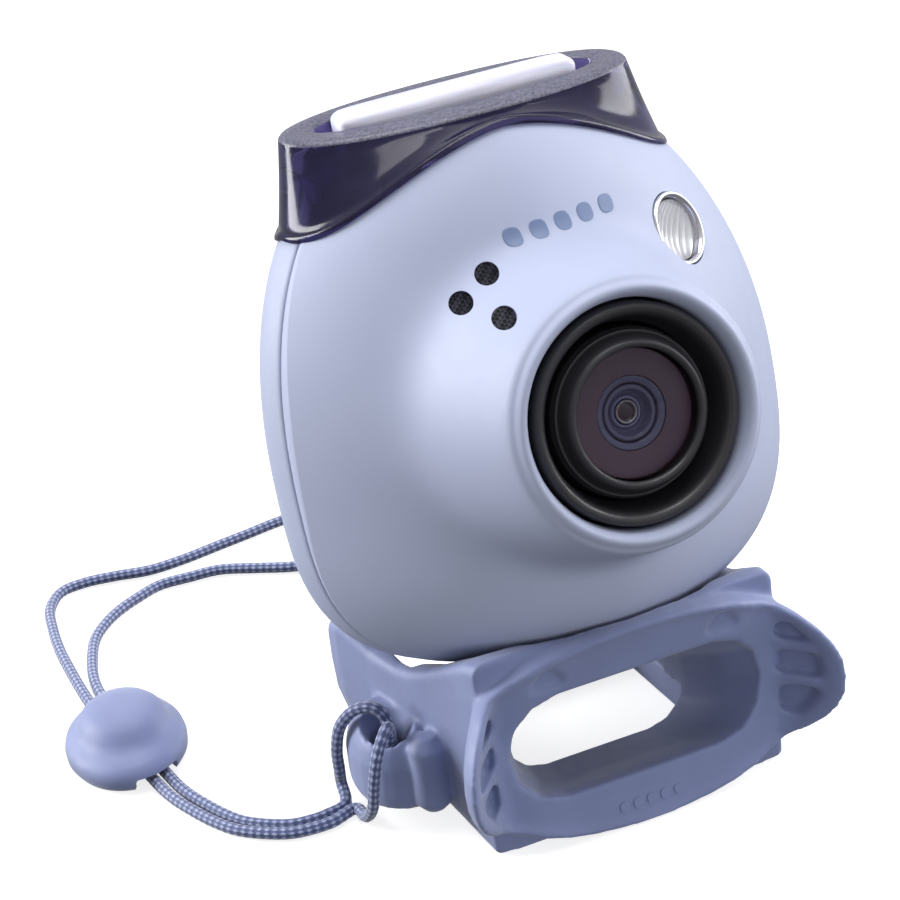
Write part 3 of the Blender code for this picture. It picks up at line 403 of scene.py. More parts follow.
def make_paints():
    shell = srgb(152, 159, 183)
    ring = srgb(108, 118, 157)
    paints = {
        "shell": moulded("shell_plastic", shell, 0.55, 0.10, 0.006, 0.03,
                         Specular_IOR_Level=0.35),
        "accent": moulded("accent_plastic", srgb(122, 130, 172), 0.38),
        "black": moulded("black_plastic", srgb(40, 40, 45), 0.36, 0.08, 0.004, 0.1),
        "slate": moulded("slate_plastic", srgb(84, 91, 122), 0.3, 0.06, 0.004, 0.1),
        "inner": moulded("inner_plastic", srgb(58, 58, 62), 0.5),
        "mark": moulded("printed_mark", srgb(92, 108, 142), 0.5, 0.08, 0.003, 0.05),
        "brass": brushed("brass_metal", srgb(205, 168, 105), 0.32),
        "steel": brushed("steel_metal", srgb(188, 188, 192), 0.3),
        "chrome": brushed("rim_metal", srgb(205, 205, 212), 0.16),
    }

    paint = Paint("soft_ring", Sheen_Weight=0.25, Sheen_Roughness=0.5)
    paint.colour(paint.noise(140, 3.0), shade(ring, 0.93), shade(ring, 1.06))
    paint.roughness(paint.noise(900, 3.0), 0.50, 0.62)
    paint.bump(paint.noise(9000, 3.0), 0.010)
    paints["ring"] = paint.mat

    paint = Paint("smoked_plastic", Transmission_Weight=0.85, IOR=1.35, Specular_IOR_Level=0.3)
    smoke = srgb(70, 64, 112)
    paint.colour(paint.noise(60, 2.0), shade(smoke, 0.85), shade(smoke, 1.1))
    paint.roughness(paint.noise(300, 2.0), 0.1, 0.18)
    paints["smoke"] = paint.mat

    paint = Paint("smoked_rim")
    speck = paint.noise(5200, 4.0)
    paint.colour(speck, srgb(48, 48, 64), srgb(104, 104, 126), 0.35, 0.72)
    paint.roughness(paint.noise(1500, 3.0), 0.34, 0.5)
    paint.bump(speck, 0.02)
    paints["rim"] = paint.mat

    paint = Paint("light_diffuser", Subsurface_Weight=0.3, Subsurface_Scale=0.001)
    streak = paint.noise(700, 4.0, (0.06, 1.0, 1.0))
    paint.colour(streak, srgb(176, 177, 196), srgb(226, 227, 240), 0.35, 0.65)
    paint.roughness(streak, 0.35, 0.5)
    paint.bump(streak, 0.02)
    paints["diffuser"] = paint.mat

    paint = Paint("lens_cover", Alpha=0.2, Specular_IOR_Level=0.35)
    paint.colour(paint.noise(120, 1.0), srgb(40, 24, 34), srgb(46, 28, 38))
    paint.roughness(paint.noise(200, 1.0), 0.02, 0.04)
    paints["cover"] = paint.mat

    paint = Paint("lens_backing")
    paint.colour(paint.noise(150, 2.0), srgb(76, 64, 82), srgb(88, 72, 92))
    paint.roughness(paint.noise(400, 2.0), 0.35, 0.5)
    paint.bump(paint.noise(6000, 2.0), 0.004)
    paints["backing"] = paint.mat

    paint = Paint("lens_glass", IOR=1.7, Coat_Weight=1.0)
    paint.colour(paint.noise(400, 1.0), srgb(20, 16, 30), srgb(34, 28, 52))
    paint.roughness(paint.noise(300, 1.0), 0.03, 0.06)
    paints["glass"] = paint.mat

    paint = Paint("clear_cover", Alpha=0.12)
    paint.colour(paint.noise(200, 1.0), srgb(226, 226, 235), srgb(240, 240, 248))
    paint.roughness(paint.noise(300, 1.0), 0.02, 0.05)
    paints["clear"] = paint.mat

    paint = Paint("flash_bowl", Metallic=0.6)
    paint.colour(paint.noise(500, 2.0), srgb(214, 214, 222), srgb(246, 246, 250))
    paint.roughness(paint.noise(500, 2.0), 0.16, 0.26)
    paints["bowl"] = paint.mat

    paint = Paint("speaker_weave")
    weave = paint.node("ShaderNodeTexChecker")
    weave.inputs["Scale"].default_value = 4200
    paint.link(paint.place, weave.inputs["Vector"])
    paint.colour(weave.outputs["Fac"], srgb(10, 10, 12), srgb(74, 74, 82), 0.2, 0.8)
    paint.roughness(paint.noise(900), 0.5, 0.7)
    paint.bump(weave.outputs["Fac"], 0.05)
    paints["mesh"] = paint.mat

    paint = Paint("circuit_board")
    paint.colour(paint.noise(900, 4.0), srgb(12, 58, 36), srgb(30, 92, 58), 0.45, 0.55)
    paint.roughness(paint.noise(500), 0.35, 0.5)
    paint.bump(paint.noise(1500, 2.0), 0.02)
    paints["board"] = paint.mat

    paint = Paint("foil_wrap", Metallic=0.7)
    paint.colour(paint.noise(200, 3.0), srgb(160, 160, 168), srgb(190, 190, 196))
    paint.roughness(paint.noise(300), 0.3, 0.42)
    paint.bump(paint.noise(260, 3.0), 0.06)
    paints["foil"] = paint.mat

    paint = Paint("amber_film")
    paint.colour(paint.noise(1200, 3.0, (1.0, 0.1, 1.0)), srgb(150, 84, 26), srgb(196, 124, 44))
    paint.roughness(paint.noise(500), 0.25, 0.4)
    paints["film"] = paint.mat

    paints["cord"] = braid_paint()
    return paints


def braid_paint():
    """Braided cord: two families of yarn from the tube's own coordinates, pale flecks, painted
    shade in the hollows.
    """
    paint = Paint("braided_cord", Sheen_Weight=0.4)
    coords = paint.node("ShaderNodeUVMap", uv_map="braid").outputs["UV"]
    split = paint.node("ShaderNodeSeparateXYZ")
    paint.link(coords, split.inputs["Vector"])
    waves = []
    for direction in (1.0, -1.0):
        turn = paint.node("ShaderNodeMath", operation='MULTIPLY')
        turn.inputs[1].default_value = YARNS * direction
        paint.link(split.outputs["X"], turn.inputs[0])
        add = paint.node("ShaderNodeMath", operation='ADD')
        paint.link(turn.outputs[0], add.inputs[0])
        paint.link(split.outputs["Y"], add.inputs[1])
        scale = paint.node("ShaderNodeMath", operation='MULTIPLY')
        scale.inputs[1].default_value = 2 * math.pi
        paint.link(add.outputs[0], scale.inputs[0])
        wave = paint.node("ShaderNodeMath", operation='SINE')
        paint.link(scale.outputs[0], wave.inputs[0])
        waves.append(wave.outputs[0])
    product = paint.node("ShaderNodeMath", operation='MULTIPLY')
    paint.link(waves[0], product.inputs[0])
    paint.link(waves[1], product.inputs[1])
    height = paint.spread(product.outputs[0], 0.0, 1.0, -0.7, 0.7)
    fibre = paint.noise(7000, 3.0)
    mix = paint.node("ShaderNodeMath", operation='MULTIPLY')
    paint.link(height, mix.inputs[0])
    paint.link(paint.spread(fibre, 0.55, 1.0), mix.inputs[1])
    # colour follows the braid's height: painted shade darkens the hollows between the yarns, the
    # crowns keep the pale yarn colour; the fibre noise varies the tone
    paint.colour(mix.outputs[0], srgb(60, 72, 110), srgb(156, 164, 202), 0.3, 0.9)
    paint.roughness(fibre, 0.6, 0.8)
    paint.bump(mix.outputs[0], 0.06)
    return paint.mat


# ---------------------------------------------------------------- pieces

PAINTS = make_paints()


def dress(obj, paint, body, nodes=()):
    """Material, body and stood-for CAD nodes of a finished piece."""
    if paint:
        obj.data.materials.clear()
        obj.data.materials.append(PAINTS[paint])
    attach(obj, body)
    if nodes:
        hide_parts(*nodes)
    return obj


# ---------------------------------------------------------------- camera and light

def place_camera():
    """View from the front left, above the table; the axes are the camera's own."""
    data = bpy.data.cameras.new("view")
    data.sensor_width = 36.0
    data.lens = VIEW_LENS
    data.clip_start = 0.01
    cam = bpy.data.objects.new("view", data)
    bpy.context.scene.collection.objects.link(cam)
    spot = (Vector(VIEW_SPOT) + Vector((0, BODY_Y, BODY_Z))) * MM
    turn = Matrix((VIEW_RIGHT, VIEW_UP, VIEW_BACK)).transposed().to_4x4()
    cam.matrix_world = Matrix.Translation(spot) @ turn
    bpy.context.scene.camera = cam


def place_light(name, spot, target, size, power):
    data = bpy.data.lights.new(name, 'AREA')
    data.shape = 'RECTANGLE'
    data.size, data.size_y = size
    data.energy = power
    lamp = bpy.data.objects.new(name, data)
    bpy.context.scene.collection.objects.link(lamp)
    lamp.location = spot
    lamp.rotation_euler = (Vector(target) - Vector(spot)).to_track_quat('-Z', 'Y').to_euler()
    return lamp


def studio():
    """Pale floor that stays nearly white, a sky that darkens toward the lower front left,
    and soft boxes."""
    world = bpy.data.worlds.new("studio")
    bpy.context.scene.world = world
    world.use_nodes = True
    tree = world.node_tree
    sky = tree.nodes["Background"]
    sky.inputs["Color"].default_value = (1, 1, 1, 1)
    direction = tree.nodes.new("ShaderNodeTexCoord").outputs["Generated"]
    lean = tree.nodes.new("ShaderNodeVectorMath")
    lean.operation = 'DOT_PRODUCT'
    lean.inputs[1].default_value = (0.34, 0.30, 0.89)
    height = tree.nodes.new("ShaderNodeMapRange")
    tree.links.new(direction, lean.inputs[0])
    tree.links.new(lean.outputs["Value"], height.inputs["Value"])
    for socket, value in (("From Min", -0.5), ("From Max", 0.9), ("To Min", 0.24),
                          ("To Max", 0.85)):
        height.inputs[socket].default_value = value
    tree.links.new(height.outputs["Result"], sky.inputs["Strength"])

    bm = bmesh.new()
    bmesh.ops.create_grid(bm, x_segments=1, y_segments=1, size=3000.0)
    floor = make_object("floor", bm, Matrix.Identity(4))
    paint = Paint("pale_floor")
    paint.colour(paint.noise(4, 1.0), (0.40, 0.40, 0.41, 1), (0.42, 0.42, 0.43, 1))
    paint.roughness(paint.noise(6, 1.0), 0.85, 0.95)
    paint.shader.inputs["Emission Color"].default_value = (1, 1, 1, 1)
    paint.shader.inputs["Emission Strength"].default_value = 0.78
    floor.data.materials.append(paint.mat)
    floor.visible_diffuse = False
    floor.visible_glossy = False
    centre = (0, 0, 0.03)
    place_light("top_box", (0.04, 0.04, 0.50), centre, (0.35, 0.35), 1.8)
    place_light("right_box", (0.44, 0.00, 0.14), centre, (0.22, 0.36), 1.9)
    place_light("left_box", (-0.40, 0.28, 0.20), centre, (0.20, 0.40), 4.0)
    fill = place_light("front_fill", (0.06, -0.46, 0.04), centre, (0.40, 0.20), 1.2)
    fill.visible_glossy = False
    bpy.context.scene.view_settings.view_transform = 'Standard'


# ---------------------------------------------------------------- wrist cord

LEAD = ((-19.8, -2.3), (-21.9, -3.0), (-23.6, -3.0), (-25.2, -2.6), (-26.9, -1.4), (-28.4, 0.2),
        (-29.4, 2.2), (-30.2, 4.6), (-30.9, 7.4), (-31.2, 10.4), (-31.5, 17.0), (-31.6, 25.2))
LOOP = ((-32.1, 28.8), (-31.8, 32.9), (-31.4, 36.9), (-30.7, 40.9), (-29.7, 44.7), (-27.8, 47.3),
        (-25.3, 47.8), (-22.5, 47.3), (-19.3, 46.4), (-15.8, 46.5), (-12.0, 47.1), (-8.7, 47.6),
        (-5.7, 48.1), (0.0, 48.5), (6.0, 47.5), (9.5, 44.0), (8.5, 40.0), (4.0, 37.8),
        (-1.0, 37.0), (-5.0, 37.6), (-8.2, 38.9), (-11.0, 40.7), (-13.8, 42.4), (-16.7, 42.8),
        (-19.5, 43.0), (-21.8, 42.1), (-24.3, 40.7), (-26.3, 39.0), (-28.1, 36.7), (-29.5, 33.4),
        (-30.6, 29.6))
UP_FRONT = ((-17.0, -5.4, 3.2), (-17.0, -5.6, 6.4), (-17.1, -6.4, 8.9), (-17.9, -7.5, 9.5),
            (-19.0, -8.1, 8.0), (-19.5, -7.9, 5.6), (-19.6, -7.1, 3.0), (-19.6, -5.2, 1.1))
UP_REAR = ((-19.4, 0.3, 1.4), (-19.7, -0.6, 3.2), (-19.9, -1.3, 5.5), (-19.6, -1.9, 7.7),
           (-18.7, -2.7, 9.2), (-17.7, -3.6, 9.75), (-16.9, -4.3, 9.4), (-16.5, -4.6, 8.2),
           (-16.4, -4.6, 6.0), (-16.4, -4.6, 3.4))


def beside(points, offset):
    shifted = []
    for i, (x, y) in enumerate(points):
        before = points[max(i - 1, 0)]
        after = points[min(i + 1, len(points) - 1)]
        along = Vector((after[0] - before[0], after[1] - before[1])).normalized()
        shifted.append((x - along.y * offset, y + along.x * offset, CORD_Z))
    return shifted


def smooth_points(route, spacing):
    """Points at an even spacing along a Catmull-Rom curve through the route."""
    dense = []
    for i in range(len(route) - 1):
        p0, p1 = route[max(i - 1, 0)], route[i]
        p2, p3 = route[i + 1], route[min(i + 2, len(route) - 1)]
        for k in range(24):
            t = k / 24
            dense.append(0.5 * (2 * p1 + (p2 - p0) * t + (2 * p0 - 5 * p1 + 4 * p2 - p3) * t ** 2
                                + (3 * p1 - p0 - 3 * p2 + p3) * t ** 3))
    dense.append(route[-1])
    total = sum((b - a).length for a, b in zip(dense, dense[1:]))
    count = round(total / spacing)
    points = [dense[0]]
    walked = 0.0
    target = total / count
    for a, b in zip(dense, dense[1:]):
        step = (b - a).length
        while walked + step >= target * len(points) and len(points) < count:
            share = (target * len(points) - walked) / step
            points.append(a.lerp(b, share))
        walked += step
    points.append(dense[-1])
    return points


def wrist_cord():
    """Tube with a raised braid and braid coordinates, along the cord's route."""
    route = list(UP_FRONT)
    route += beside(LEAD, STRAND)
    route += [(x, y, CORD_Z) for x, y in LOOP]
    route += reversed(beside(LEAD, -STRAND))
    route += UP_REAR
    points = smooth_points([Vector((x, y + BODY_Y, z)) for x, y, z in route], CORD_STEP)
    around = 16
    side = Vector((0, 0, 1))
    rings = []
    for i, point in enumerate(points):
        along = (points[min(i + 1, len(points) - 1)] - points[max(i - 1, 0)]).normalized()
        side = (side - along * side.dot(along)).normalized()
        across = along.cross(side)
        ring = []
        for k in range(around):
            turn = k / around
            run = i * CORD_STEP / YARN_PITCH
            lift = (math.sin(2 * math.pi * (YARNS * turn + run))
                    * math.sin(2 * math.pi * (run - YARNS * turn)))
            radius = CORD_D / 2 * (0.965 + 0.045 * lift)
            ring.append(point + radius * (side * math.cos(2 * math.pi * turn)
                                          + across * math.sin(2 * math.pi * turn)))
        rings.append(ring)
    cord = make_object("braided_cord", loft(rings), Matrix.Identity(4), 80)
    mesh = cord.data
    layer = mesh.uv_layers.new(name="braid")
    for face in mesh.polygons:
        spots = [(v // around, v % around) for v in face.vertices]
        wraps = len({s[1] for s in spots}) == 2 and {s[1] for s in spots} == {0, around - 1}
        for index, (row, column) in zip(face.loop_indices, spots):
            turn = 1.0 if wraps and column == 0 else column / around
            layer.data[index].uv = (turn, row * CORD_STEP / YARN_PITCH)
    dress(cord, "cord", "ring", ["wrist_cord"])
    return cord, [point * MM for point in points]


def cord_bead():
    """Soft bead: a wide brim with a domed crown, standing on the table over both strands."""
    lean = math.radians(14.0)
    rings = []
    outline = ((4.1, 5.6, 0.12), (4.75, 6.4, 0.35), (5.1, 6.85, 0.9), (5.15, 6.9, 1.5),
               (5.0, 6.7, 2.05), (4.6, 6.1, 2.55), (4.2, 5.3, 2.85), (3.95, 4.75, 3.15),
               (3.75, 4.35, 3.6), (3.45, 3.95, 4.15), (2.95, 3.35, 4.65), (2.2, 2.5, 4.98),
               (1.2, 1.35, 5.12))
    for half_x, half_y, z in outline:
        ring = []
        for a in angles(72):
            x, y = superellipse(a, half_x, half_y, 2.0)
            ring.append((x * math.cos(lean) + y * math.sin(lean) + BEAD_AT[0] - 0.5,
                         -x * math.sin(lean) + y * math.cos(lean) + BEAD_AT[1], z))
        rings.append(ring)
    bead = make_object("soft_bead", loft(rings), TABLE, 50)
    carve(bead, [box((BEAD_AT[0], BEAD_AT[1], 0.3), (4.1, 22.0, 2.3), 0.3)], TABLE)
    return dress(bead, "ring", "cord_bead", ["cord_bead"])


# ---------------------------------------------------------------- body skin

def taper(z, depth, rise_power, drop_power, inset):
    above = z >= WIDEST_Z
    reach = (RISE if above else DROP) - inset
    power = rise_power if above else drop_power
    share = min(abs(z - WIDEST_Z) / reach, 1.0)
    return (depth - inset) * (1 - share ** power) ** (1 / power)


def body_value(x, y, z, inset=0.0):
    """Below 1 inside the body and above 1 outside."""
    half = taper(z, HALF_WIDTH, 2.3, 2.85, inset)
    depth = taper(z, FRONT_DEPTH if y < 0 else REAR_DEPTH, 2.55, 3.4, inset)
    power = FRONT_POWER if y < 0 else REAR_POWER
    if half < 1e-6 or depth < 1e-6:
        return 9.0
    return (abs(x) / half) ** power + (abs(y) / depth) ** power


def search(inside, low, high):
    for _ in range(26):
        middle = (low + high) / 2
        if inside(middle):
            low = middle
        else:
            high = middle
    return low


def section_radius(angle, y, centre_z, inset=0.0):
    cos, sin = math.cos(angle), math.sin(angle)
    return search(lambda r: body_value(r * cos, y, centre_z + r * sin, inset) < 1, 0.0, 40.0)


def front_y(x, z, inset=0.0):
    return -search(lambda depth: body_value(x, -depth, z, inset) < 1, 0.0, 20.0)


def rear_y(x, z):
    return search(lambda y: body_value(x, y, z) < 1, 0.0, 20.0)


def crown_z(x, y):
    return search(lambda z: body_value(x, y, z) < 1, WIDEST_Z, WIDEST_Z + RISE)


def flare_y(x, z):
    """Front skin with the lens mount's rounded shoulder blended in."""
    plain = -front_y(x, z)
    out = max(math.hypot(x, z - LENS_Z) - SHOULDER_R, 0.0)
    mount = -SHOULDER_Y - SHOULDER_FALL * (1 - math.exp(-(out / 2.0) ** 1.45)) - 0.9 * out
    blend = 2.6
    extra = max(blend - abs(plain - mount), 0.0) ** 2 / (4 * blend)
    return -(max(plain, mount) + extra)


def around_lens(radius, y):
    return [(radius * math.cos(a), y, LENS_Z + radius * math.sin(a)) for a in angles()]


def fan(share_of, value_of, reach, start):
    ring = []
    for a, edge in zip(angles(), reach):
        radius = start + (edge - start) * share_of
        x, z = radius * math.cos(a), LENS_Z + radius * math.sin(a)
        ring.append((x, value_of(x, z), z))
    return ring


def window_well():
    return loft([[(*superellipse(a, *WELL_HALF, 2.15), z) for a in angles(96)]
                 for z in (14.0, 32.0)])


def front_shell():
    limit = SPLIT_Y - SEAM
    lip = ((BORE_R, 6.6), (BORE_R, 1.7), (BORE_R + 0.03, 1.3), (8.62, 0.95), (8.78, 0.6),
           (8.92, 0.32), (9.06, 0.12), (9.22, 0.02), (9.4, 0.03), (9.55, 0.14), (9.68, 0.32),
           (9.8, 0.5), (9.92, 0.62), (10.05, 0.7))
    rings = [around_lens(radius, LIP_Y + back) for radius, back in lip]
    reach = [section_radius(a, limit, LENS_Z) for a in angles()]
    steps = 46
    start = SHOULDER_R
    for k in range(steps + 1):
        share = math.sin((k / steps) ** 1.35 * math.pi / 2)
        rings.append(fan(share, (lambda x, z: limit - 0.12) if k == steps else
                         (lambda x, z: min(flare_y(x, z), limit - 0.12)), reach, start))
    rings.append([(x * 0.994, limit, z * 0.994) for x, y, z in rings[-1]])
    inner = [section_radius(a, limit, LENS_Z, WALL) for a in angles()]
    for k in range(9):
        share = math.cos(k / 8 * math.pi / 2)
        rings.append(fan(share, (lambda x, z: limit) if k == 0 else
                         (lambda x, z: min(front_y(x, z, WALL), limit)), inner, 9.2))
    shell = make_object("front_skin", loft(rings, loop=True), BODY)
    tools = [window_well(), aim(rod(FLASH_R, -7, 4, 64), FLASH_AT, FLASH_NORMAL),
             aim(rod(TRIPOD_BORE_R, -25, -12, 64), (0, 0, 0), (0, 0, 1))]
    for x, z in SPEAKER_HOLES:
        hole = turned([(0, 1.6), (SPEAKER_R, 1.6), (SPEAKER_R, -2.4), (0, -2.4)], 40)
        tools.append(aim(hole, (x, flare_y(x, z), z), SPEAKER_AXIS))
    carve(shell, tools, BODY)
    return dress(shell, "shell", "camera", ["front_shell"])


def section(y, inset):
    return [(r * math.cos(a), y, r * math.sin(a)) for a in angles()
            for r in [section_radius(a, y, 0.0, inset)]]


def rear_shell():
    start = SPLIT_Y + SEAM
    rings = [[(x * 0.994, y, z * 0.994) for x, y, z in section(start, 0.0)]]
    stations = [start + 0.12 + 0.3 * k for k in range(9)]
    widest = stations[-1]
    for k in range(1, 31):
        stations.append(widest + (16.4 - widest) * math.sin(k / 30 * math.pi / 2) ** 1.2)
    for y in stations[:-1]:
        rings.append(section(y, 0.0))
    for radius, y in ((7.75, 16.95), (7.5, 17.1), (7.25, 17.2), (7.05, 17.17), (6.92, 17.05),
                      (6.9, 16.9), (6.9, 15.6)):
        rings.append([(radius * math.cos(a), y, radius * math.sin(a)) for a in angles()])
    for y in (14.9, 13.0, 10.5, 7.5, 4.0, 0.0, start):
        rings.append(section(y, WALL))
    shell = make_object("rear_skin", loft(rings, loop=True), BODY)
    power_y, power_z = POWER_AT
    tools = [window_well(), aim(rod(2.25, 12, 25, 48), (0, power_y, power_z), (1, 0, 0)),
             box((0, 17.0, SLIDER_Z), (6.8, 7.0, 2.4), 0.5), box(*DOOR_CUT),
             aim(rod(TRIPOD_BORE_R, -25, -12, 64), (0, 0, 0), (0, 0, 1))]
    for x, z in SCREW_PLACES:
        skin = rear_y(x, z)
        hole = turned([(0, 25), (1.6, 25), (1.6, skin - 1.3), (1.0, skin - 1.3), (1.0, skin - 5),
                       (0, skin - 5)], 36)
        tools.append(aim(hole, (x, 0, z), (0, 1, 0)))
    carve(shell, tools, BODY)
    return dress(shell, "shell", "camera", ["rear_shell"])


# ---------------------------------------------------------------- top window

def window_point(a, half_x, half_y, lift, power=2.3):
    x, across = superellipse(a, half_x, half_y, power)
    y = WINDOW_Y + across * math.cos(WINDOW_TILT) - lift * math.sin(WINDOW_TILT)
    z = WINDOW_Z + across * math.sin(WINDOW_TILT) + lift * math.cos(WINDOW_TILT)
    return x, y, z


def collar_point(a, inset, lift):
    edge_x, edge_y = superellipse(a, *COLLAR_HALF, 2.15)
    x, y = superellipse(a, COLLAR_HALF[0] - inset, COLLAR_HALF[1] - inset, 2.15)
    return x, y, crown_z(edge_x, edge_y) + lift


def side_point(a, share, sag):
    upper = window_point(a, *WINDOW_HALF, -0.5)
    lower = collar_point(a, 0.4, 1.1)
    x, y, z = (p + (q - p) * share for p, q in zip(upper, lower))
    return x, y, z - sag


def top_window():
    long, wide = WINDOW_HALF
    slot_x, slot_y = SLOT_HALF
    outline = [
        lambda a: window_point(a, slot_x + 0.02, slot_y + 0.02, -0.12, 2.1),
        lambda a: window_point(a, slot_x + 0.15, slot_y + 0.15, 0.0, 2.1),
        lambda a: window_point(a, long - 0.8, wide - 0.8, 0.0),
        lambda a: window_point(a, long - 0.45, wide - 0.45, -0.04),
        lambda a: window_point(a, long - 0.18, wide - 0.18, -0.15),
        lambda a: window_point(a, long - 0.04, wide - 0.04, -0.32),
        lambda a: window_point(a, long, wide, -0.5)]
    for k in range(1, 8):
        outline.append(lambda a, t=k / 8: side_point(a, t, 0.3 * math.sin(t * math.pi)))
    outline += [
        lambda a: collar_point(a, 0.4, 1.05),
        lambda a: collar_point(a, 0.15, 0.95),
        lambda a: collar_point(a, 0.0, 0.75),
        lambda a: collar_point(a, -0.05, 0.5),
        lambda a: collar_point(a, 0.05, 0.36),
        lambda a: collar_point(a, 0.6, 0.6),
        lambda a: collar_point(a, 0.6, -0.4),
        lambda a: collar_point(a, 1.5, -0.4),
        lambda a: window_point(a, long - 1.7, wide - 1.5, -1.9),
        lambda a: window_point(a, slot_x, slot_y, -1.4, 2.1)]
    rings = [[place(a) for a in angles()] for place in outline]
    window = make_object("smoky_window", loft(rings, loop=True), BODY, 60)
    dress(window, None, "camera", ["top_window"])
    window.data.materials.append(PAINTS["smoke"])
    window.data.materials.append(PAINTS["rim"])
    for face in window.data.polygons:
        row = min(v // FINE for v in face.vertices)
        if row <= 4 and max(v // FINE for v in face.vertices) <= 6:
            face.material_index = 1

    half_x, half_y = BAR_HALF
    rings = []
    for inset, lift in ((0.0, -4.2), (0.0, 0.2), (0.06, 0.42), (0.2, 0.62), (0.42, 0.78),
                        (0.75, 0.88), (1.1, 0.9)):
        half = (half_x - inset, half_y - min(inset, 0.9))
        rings.append([window_point(a, *half, lift, 6.0) for a in angles(144)])
    dress(make_object("light_guide", loft(rings), BODY, 50), "diffuser", "camera", ["light_bar"])

    chamber = [box((x, 0, -3.9), (0.5, 6.2, 1.8), 0.1) for x in (-13.2, 13.2)]
    bm = join(chamber)
    bm.transform(Matrix.Translation((0, WINDOW_Y, WINDOW_Z))
                 @ Matrix.Rotation(WINDOW_TILT, 4, 'X'))
    dress(make_object("guide_posts", bm, BODY), "slate", "camera", ())


# ---------------------------------------------------------------- lens

def lens_piece(name, profile, paint, nodes, segments=128, rounding=0.12):
    """Turned piece on the lens axis; heights count backward from the lip's crest."""
    front = -LIP_Y
    outline = [(radius, front - back) for radius, back in profile]
    bm = aim(turned(rounded(outline, rounding), segments), (0, 0, LENS_Z), (0, -1, 0))
    return dress(make_object(name, bm, BODY), paint, "camera", nodes)


def lens():
    lens_piece("ring_bead", [
        (6.65, 6.4), (6.65, 3.4), (6.8, 2.9), (6.95, 2.3), (7.1, 1.6), (7.25, 1.05), (7.45, 0.72),
        (7.7, 0.54), (7.95, 0.52), (8.15, 0.68), (8.25, 0.95), (8.27, 1.4), (8.27, 6.4)],
        "black", ["lens_outer_ring"])
    lens_piece("tube_rim", [
        (5.15, 9.4), (5.15, 1.3), (5.0, 1.05), (4.9, 0.85), (4.93, 0.62), (5.05, 0.46),
        (5.22, 0.4), (5.4, 0.48), (5.55, 0.7), (5.7, 1.05), (5.85, 1.5), (5.95, 1.75),
        (6.02, 1.68), (6.14, 1.7), (6.2, 1.9), (6.35, 2.2), (6.35, 9.4)],
        "black", ["lens_inner_tube"], 128, 0.05)
    lens_piece("cover_glass", [
        (0, 1.65), (4.85, 1.65), (4.85, 1.3), (4.75, 1.18), (0, 1.18)],
        "cover", ["lens_window"])
    lens_piece("aperture_plate", [
        (2.8, 1.75), (4.8, 1.75), (4.8, 2.4), (2.8, 2.4)],
        "backing", (), 128, 0.05)
    lens_piece("slate_step", [
        (2.24, 2.9), (2.24, 2.04), (2.3, 1.95), (2.66, 1.8), (2.76, 1.86), (2.78, 2.9)],
        "slate", (), 96, 0.04)
    lens_piece("barrel", [
        (1.25, 8.6), (1.25, 3.0), (1.5, 2.75), (1.66, 2.35), (1.72, 2.12), (1.8, 2.02),
        (1.98, 2.0), (2.08, 2.08), (2.12, 2.3), (2.2, 2.95), (4.75, 3.0), (4.75, 9.4), (2.1, 9.4),
        (2.1, 8.6)], "slate", ["lens_barrel"], 96, 0.04)
    lens_piece("inner_step", [
        (0.99, 3.4), (0.99, 2.75), (1.05, 2.66), (1.12, 2.68), (1.23, 2.9), (1.23, 3.4)],
        "accent", (), 96, 0.03)
    lens_piece("front_glass", [
        (0, 5.0), (0.95, 5.0), (0.95, 3.05), (0.8, 2.85), (0.55, 2.76), (0.3, 2.71), (0, 2.7)],
        "glass", ["lens_front_element"], 64, 0.02)
    lens_piece("iris_rim", [
        (0.68, 2.95), (0.68, 2.68), (0.74, 2.6), (0.84, 2.58), (0.91, 2.66), (0.91, 2.95)],
        "chrome", (), 64, 0.02)


# ---------------------------------------------------------------- flash and speaker

def flash():
    def piece(name, bm, paint, nodes):
        return dress(make_object(name, aim(bm, FLASH_AT, FLASH_NORMAL), BODY, 50), paint,
                     "camera", nodes)

    rim = [(2.52, -1.3), (2.52, -0.25), (2.62, -0.05), (2.78, 0.06), (2.92, 0.02), (2.98, -0.15),
           (2.98, -1.3)]
    piece("flash_rim", turned(rounded(rim, 0.06), 96), "chrome", ())
    cover = [(0, -0.55), (2.44, -0.55), (2.44, -0.28), (2.3, -0.16), (1.6, -0.06), (0.8, -0.01),
             (0, 0.0)]
    piece("flash_cover", turned(cover, 96), "clear", ["flash_window"])

    ridges = 9
    columns = 108
    rows = 20
    half = 2.42
    flute = 0.34               # depth of the grooves
    bm = bmesh.new()
    grid = []
    for j in range(rows + 1):
        line = []
        for i in range(columns + 1):
            u = -1 + 2 * i / columns
            v = -1 + 2 * j / rows
            x = u * half * math.sqrt(1 - v * v / 2)
            y = v * half * math.sqrt(1 - u * u / 2)
            radius = math.hypot(x, y) / half
            depth = -0.75 - 0.9 * (1 - radius ** 2)
            depth += flute * abs(math.cos(u * ridges * math.pi / 2))
            line.append(bm.verts.new((x, y, depth)))
        grid.append(line)
    for j in range(rows):
        for i in range(columns):
            bm.faces.new((grid[j][i], grid[j][i + 1], grid[j + 1][i + 1], grid[j + 1][i]))
    bmesh.ops.solidify(bm, geom=list(bm.faces), thickness=0.12)
    piece("fluted_reflector", bm, "bowl", ["flash_reflector"])


def speaker_meshes():
    for index, (x, z) in enumerate(SPEAKER_HOLES):
        edge = SPEAKER_R - 0.01
        disc = turned([(0, -1.5), (edge, -1.5), (edge, -1.2), (0, -1.2)], 40)
        aim(disc, (x, flare_y(x, z), z), SPEAKER_AXIS)
        name = f"speaker_mesh_{index + 1}"
        dress(make_object(f"woven_{name}", disc, BODY), "mesh", "camera", [name])


# ---------------------------------------------------------------- controls

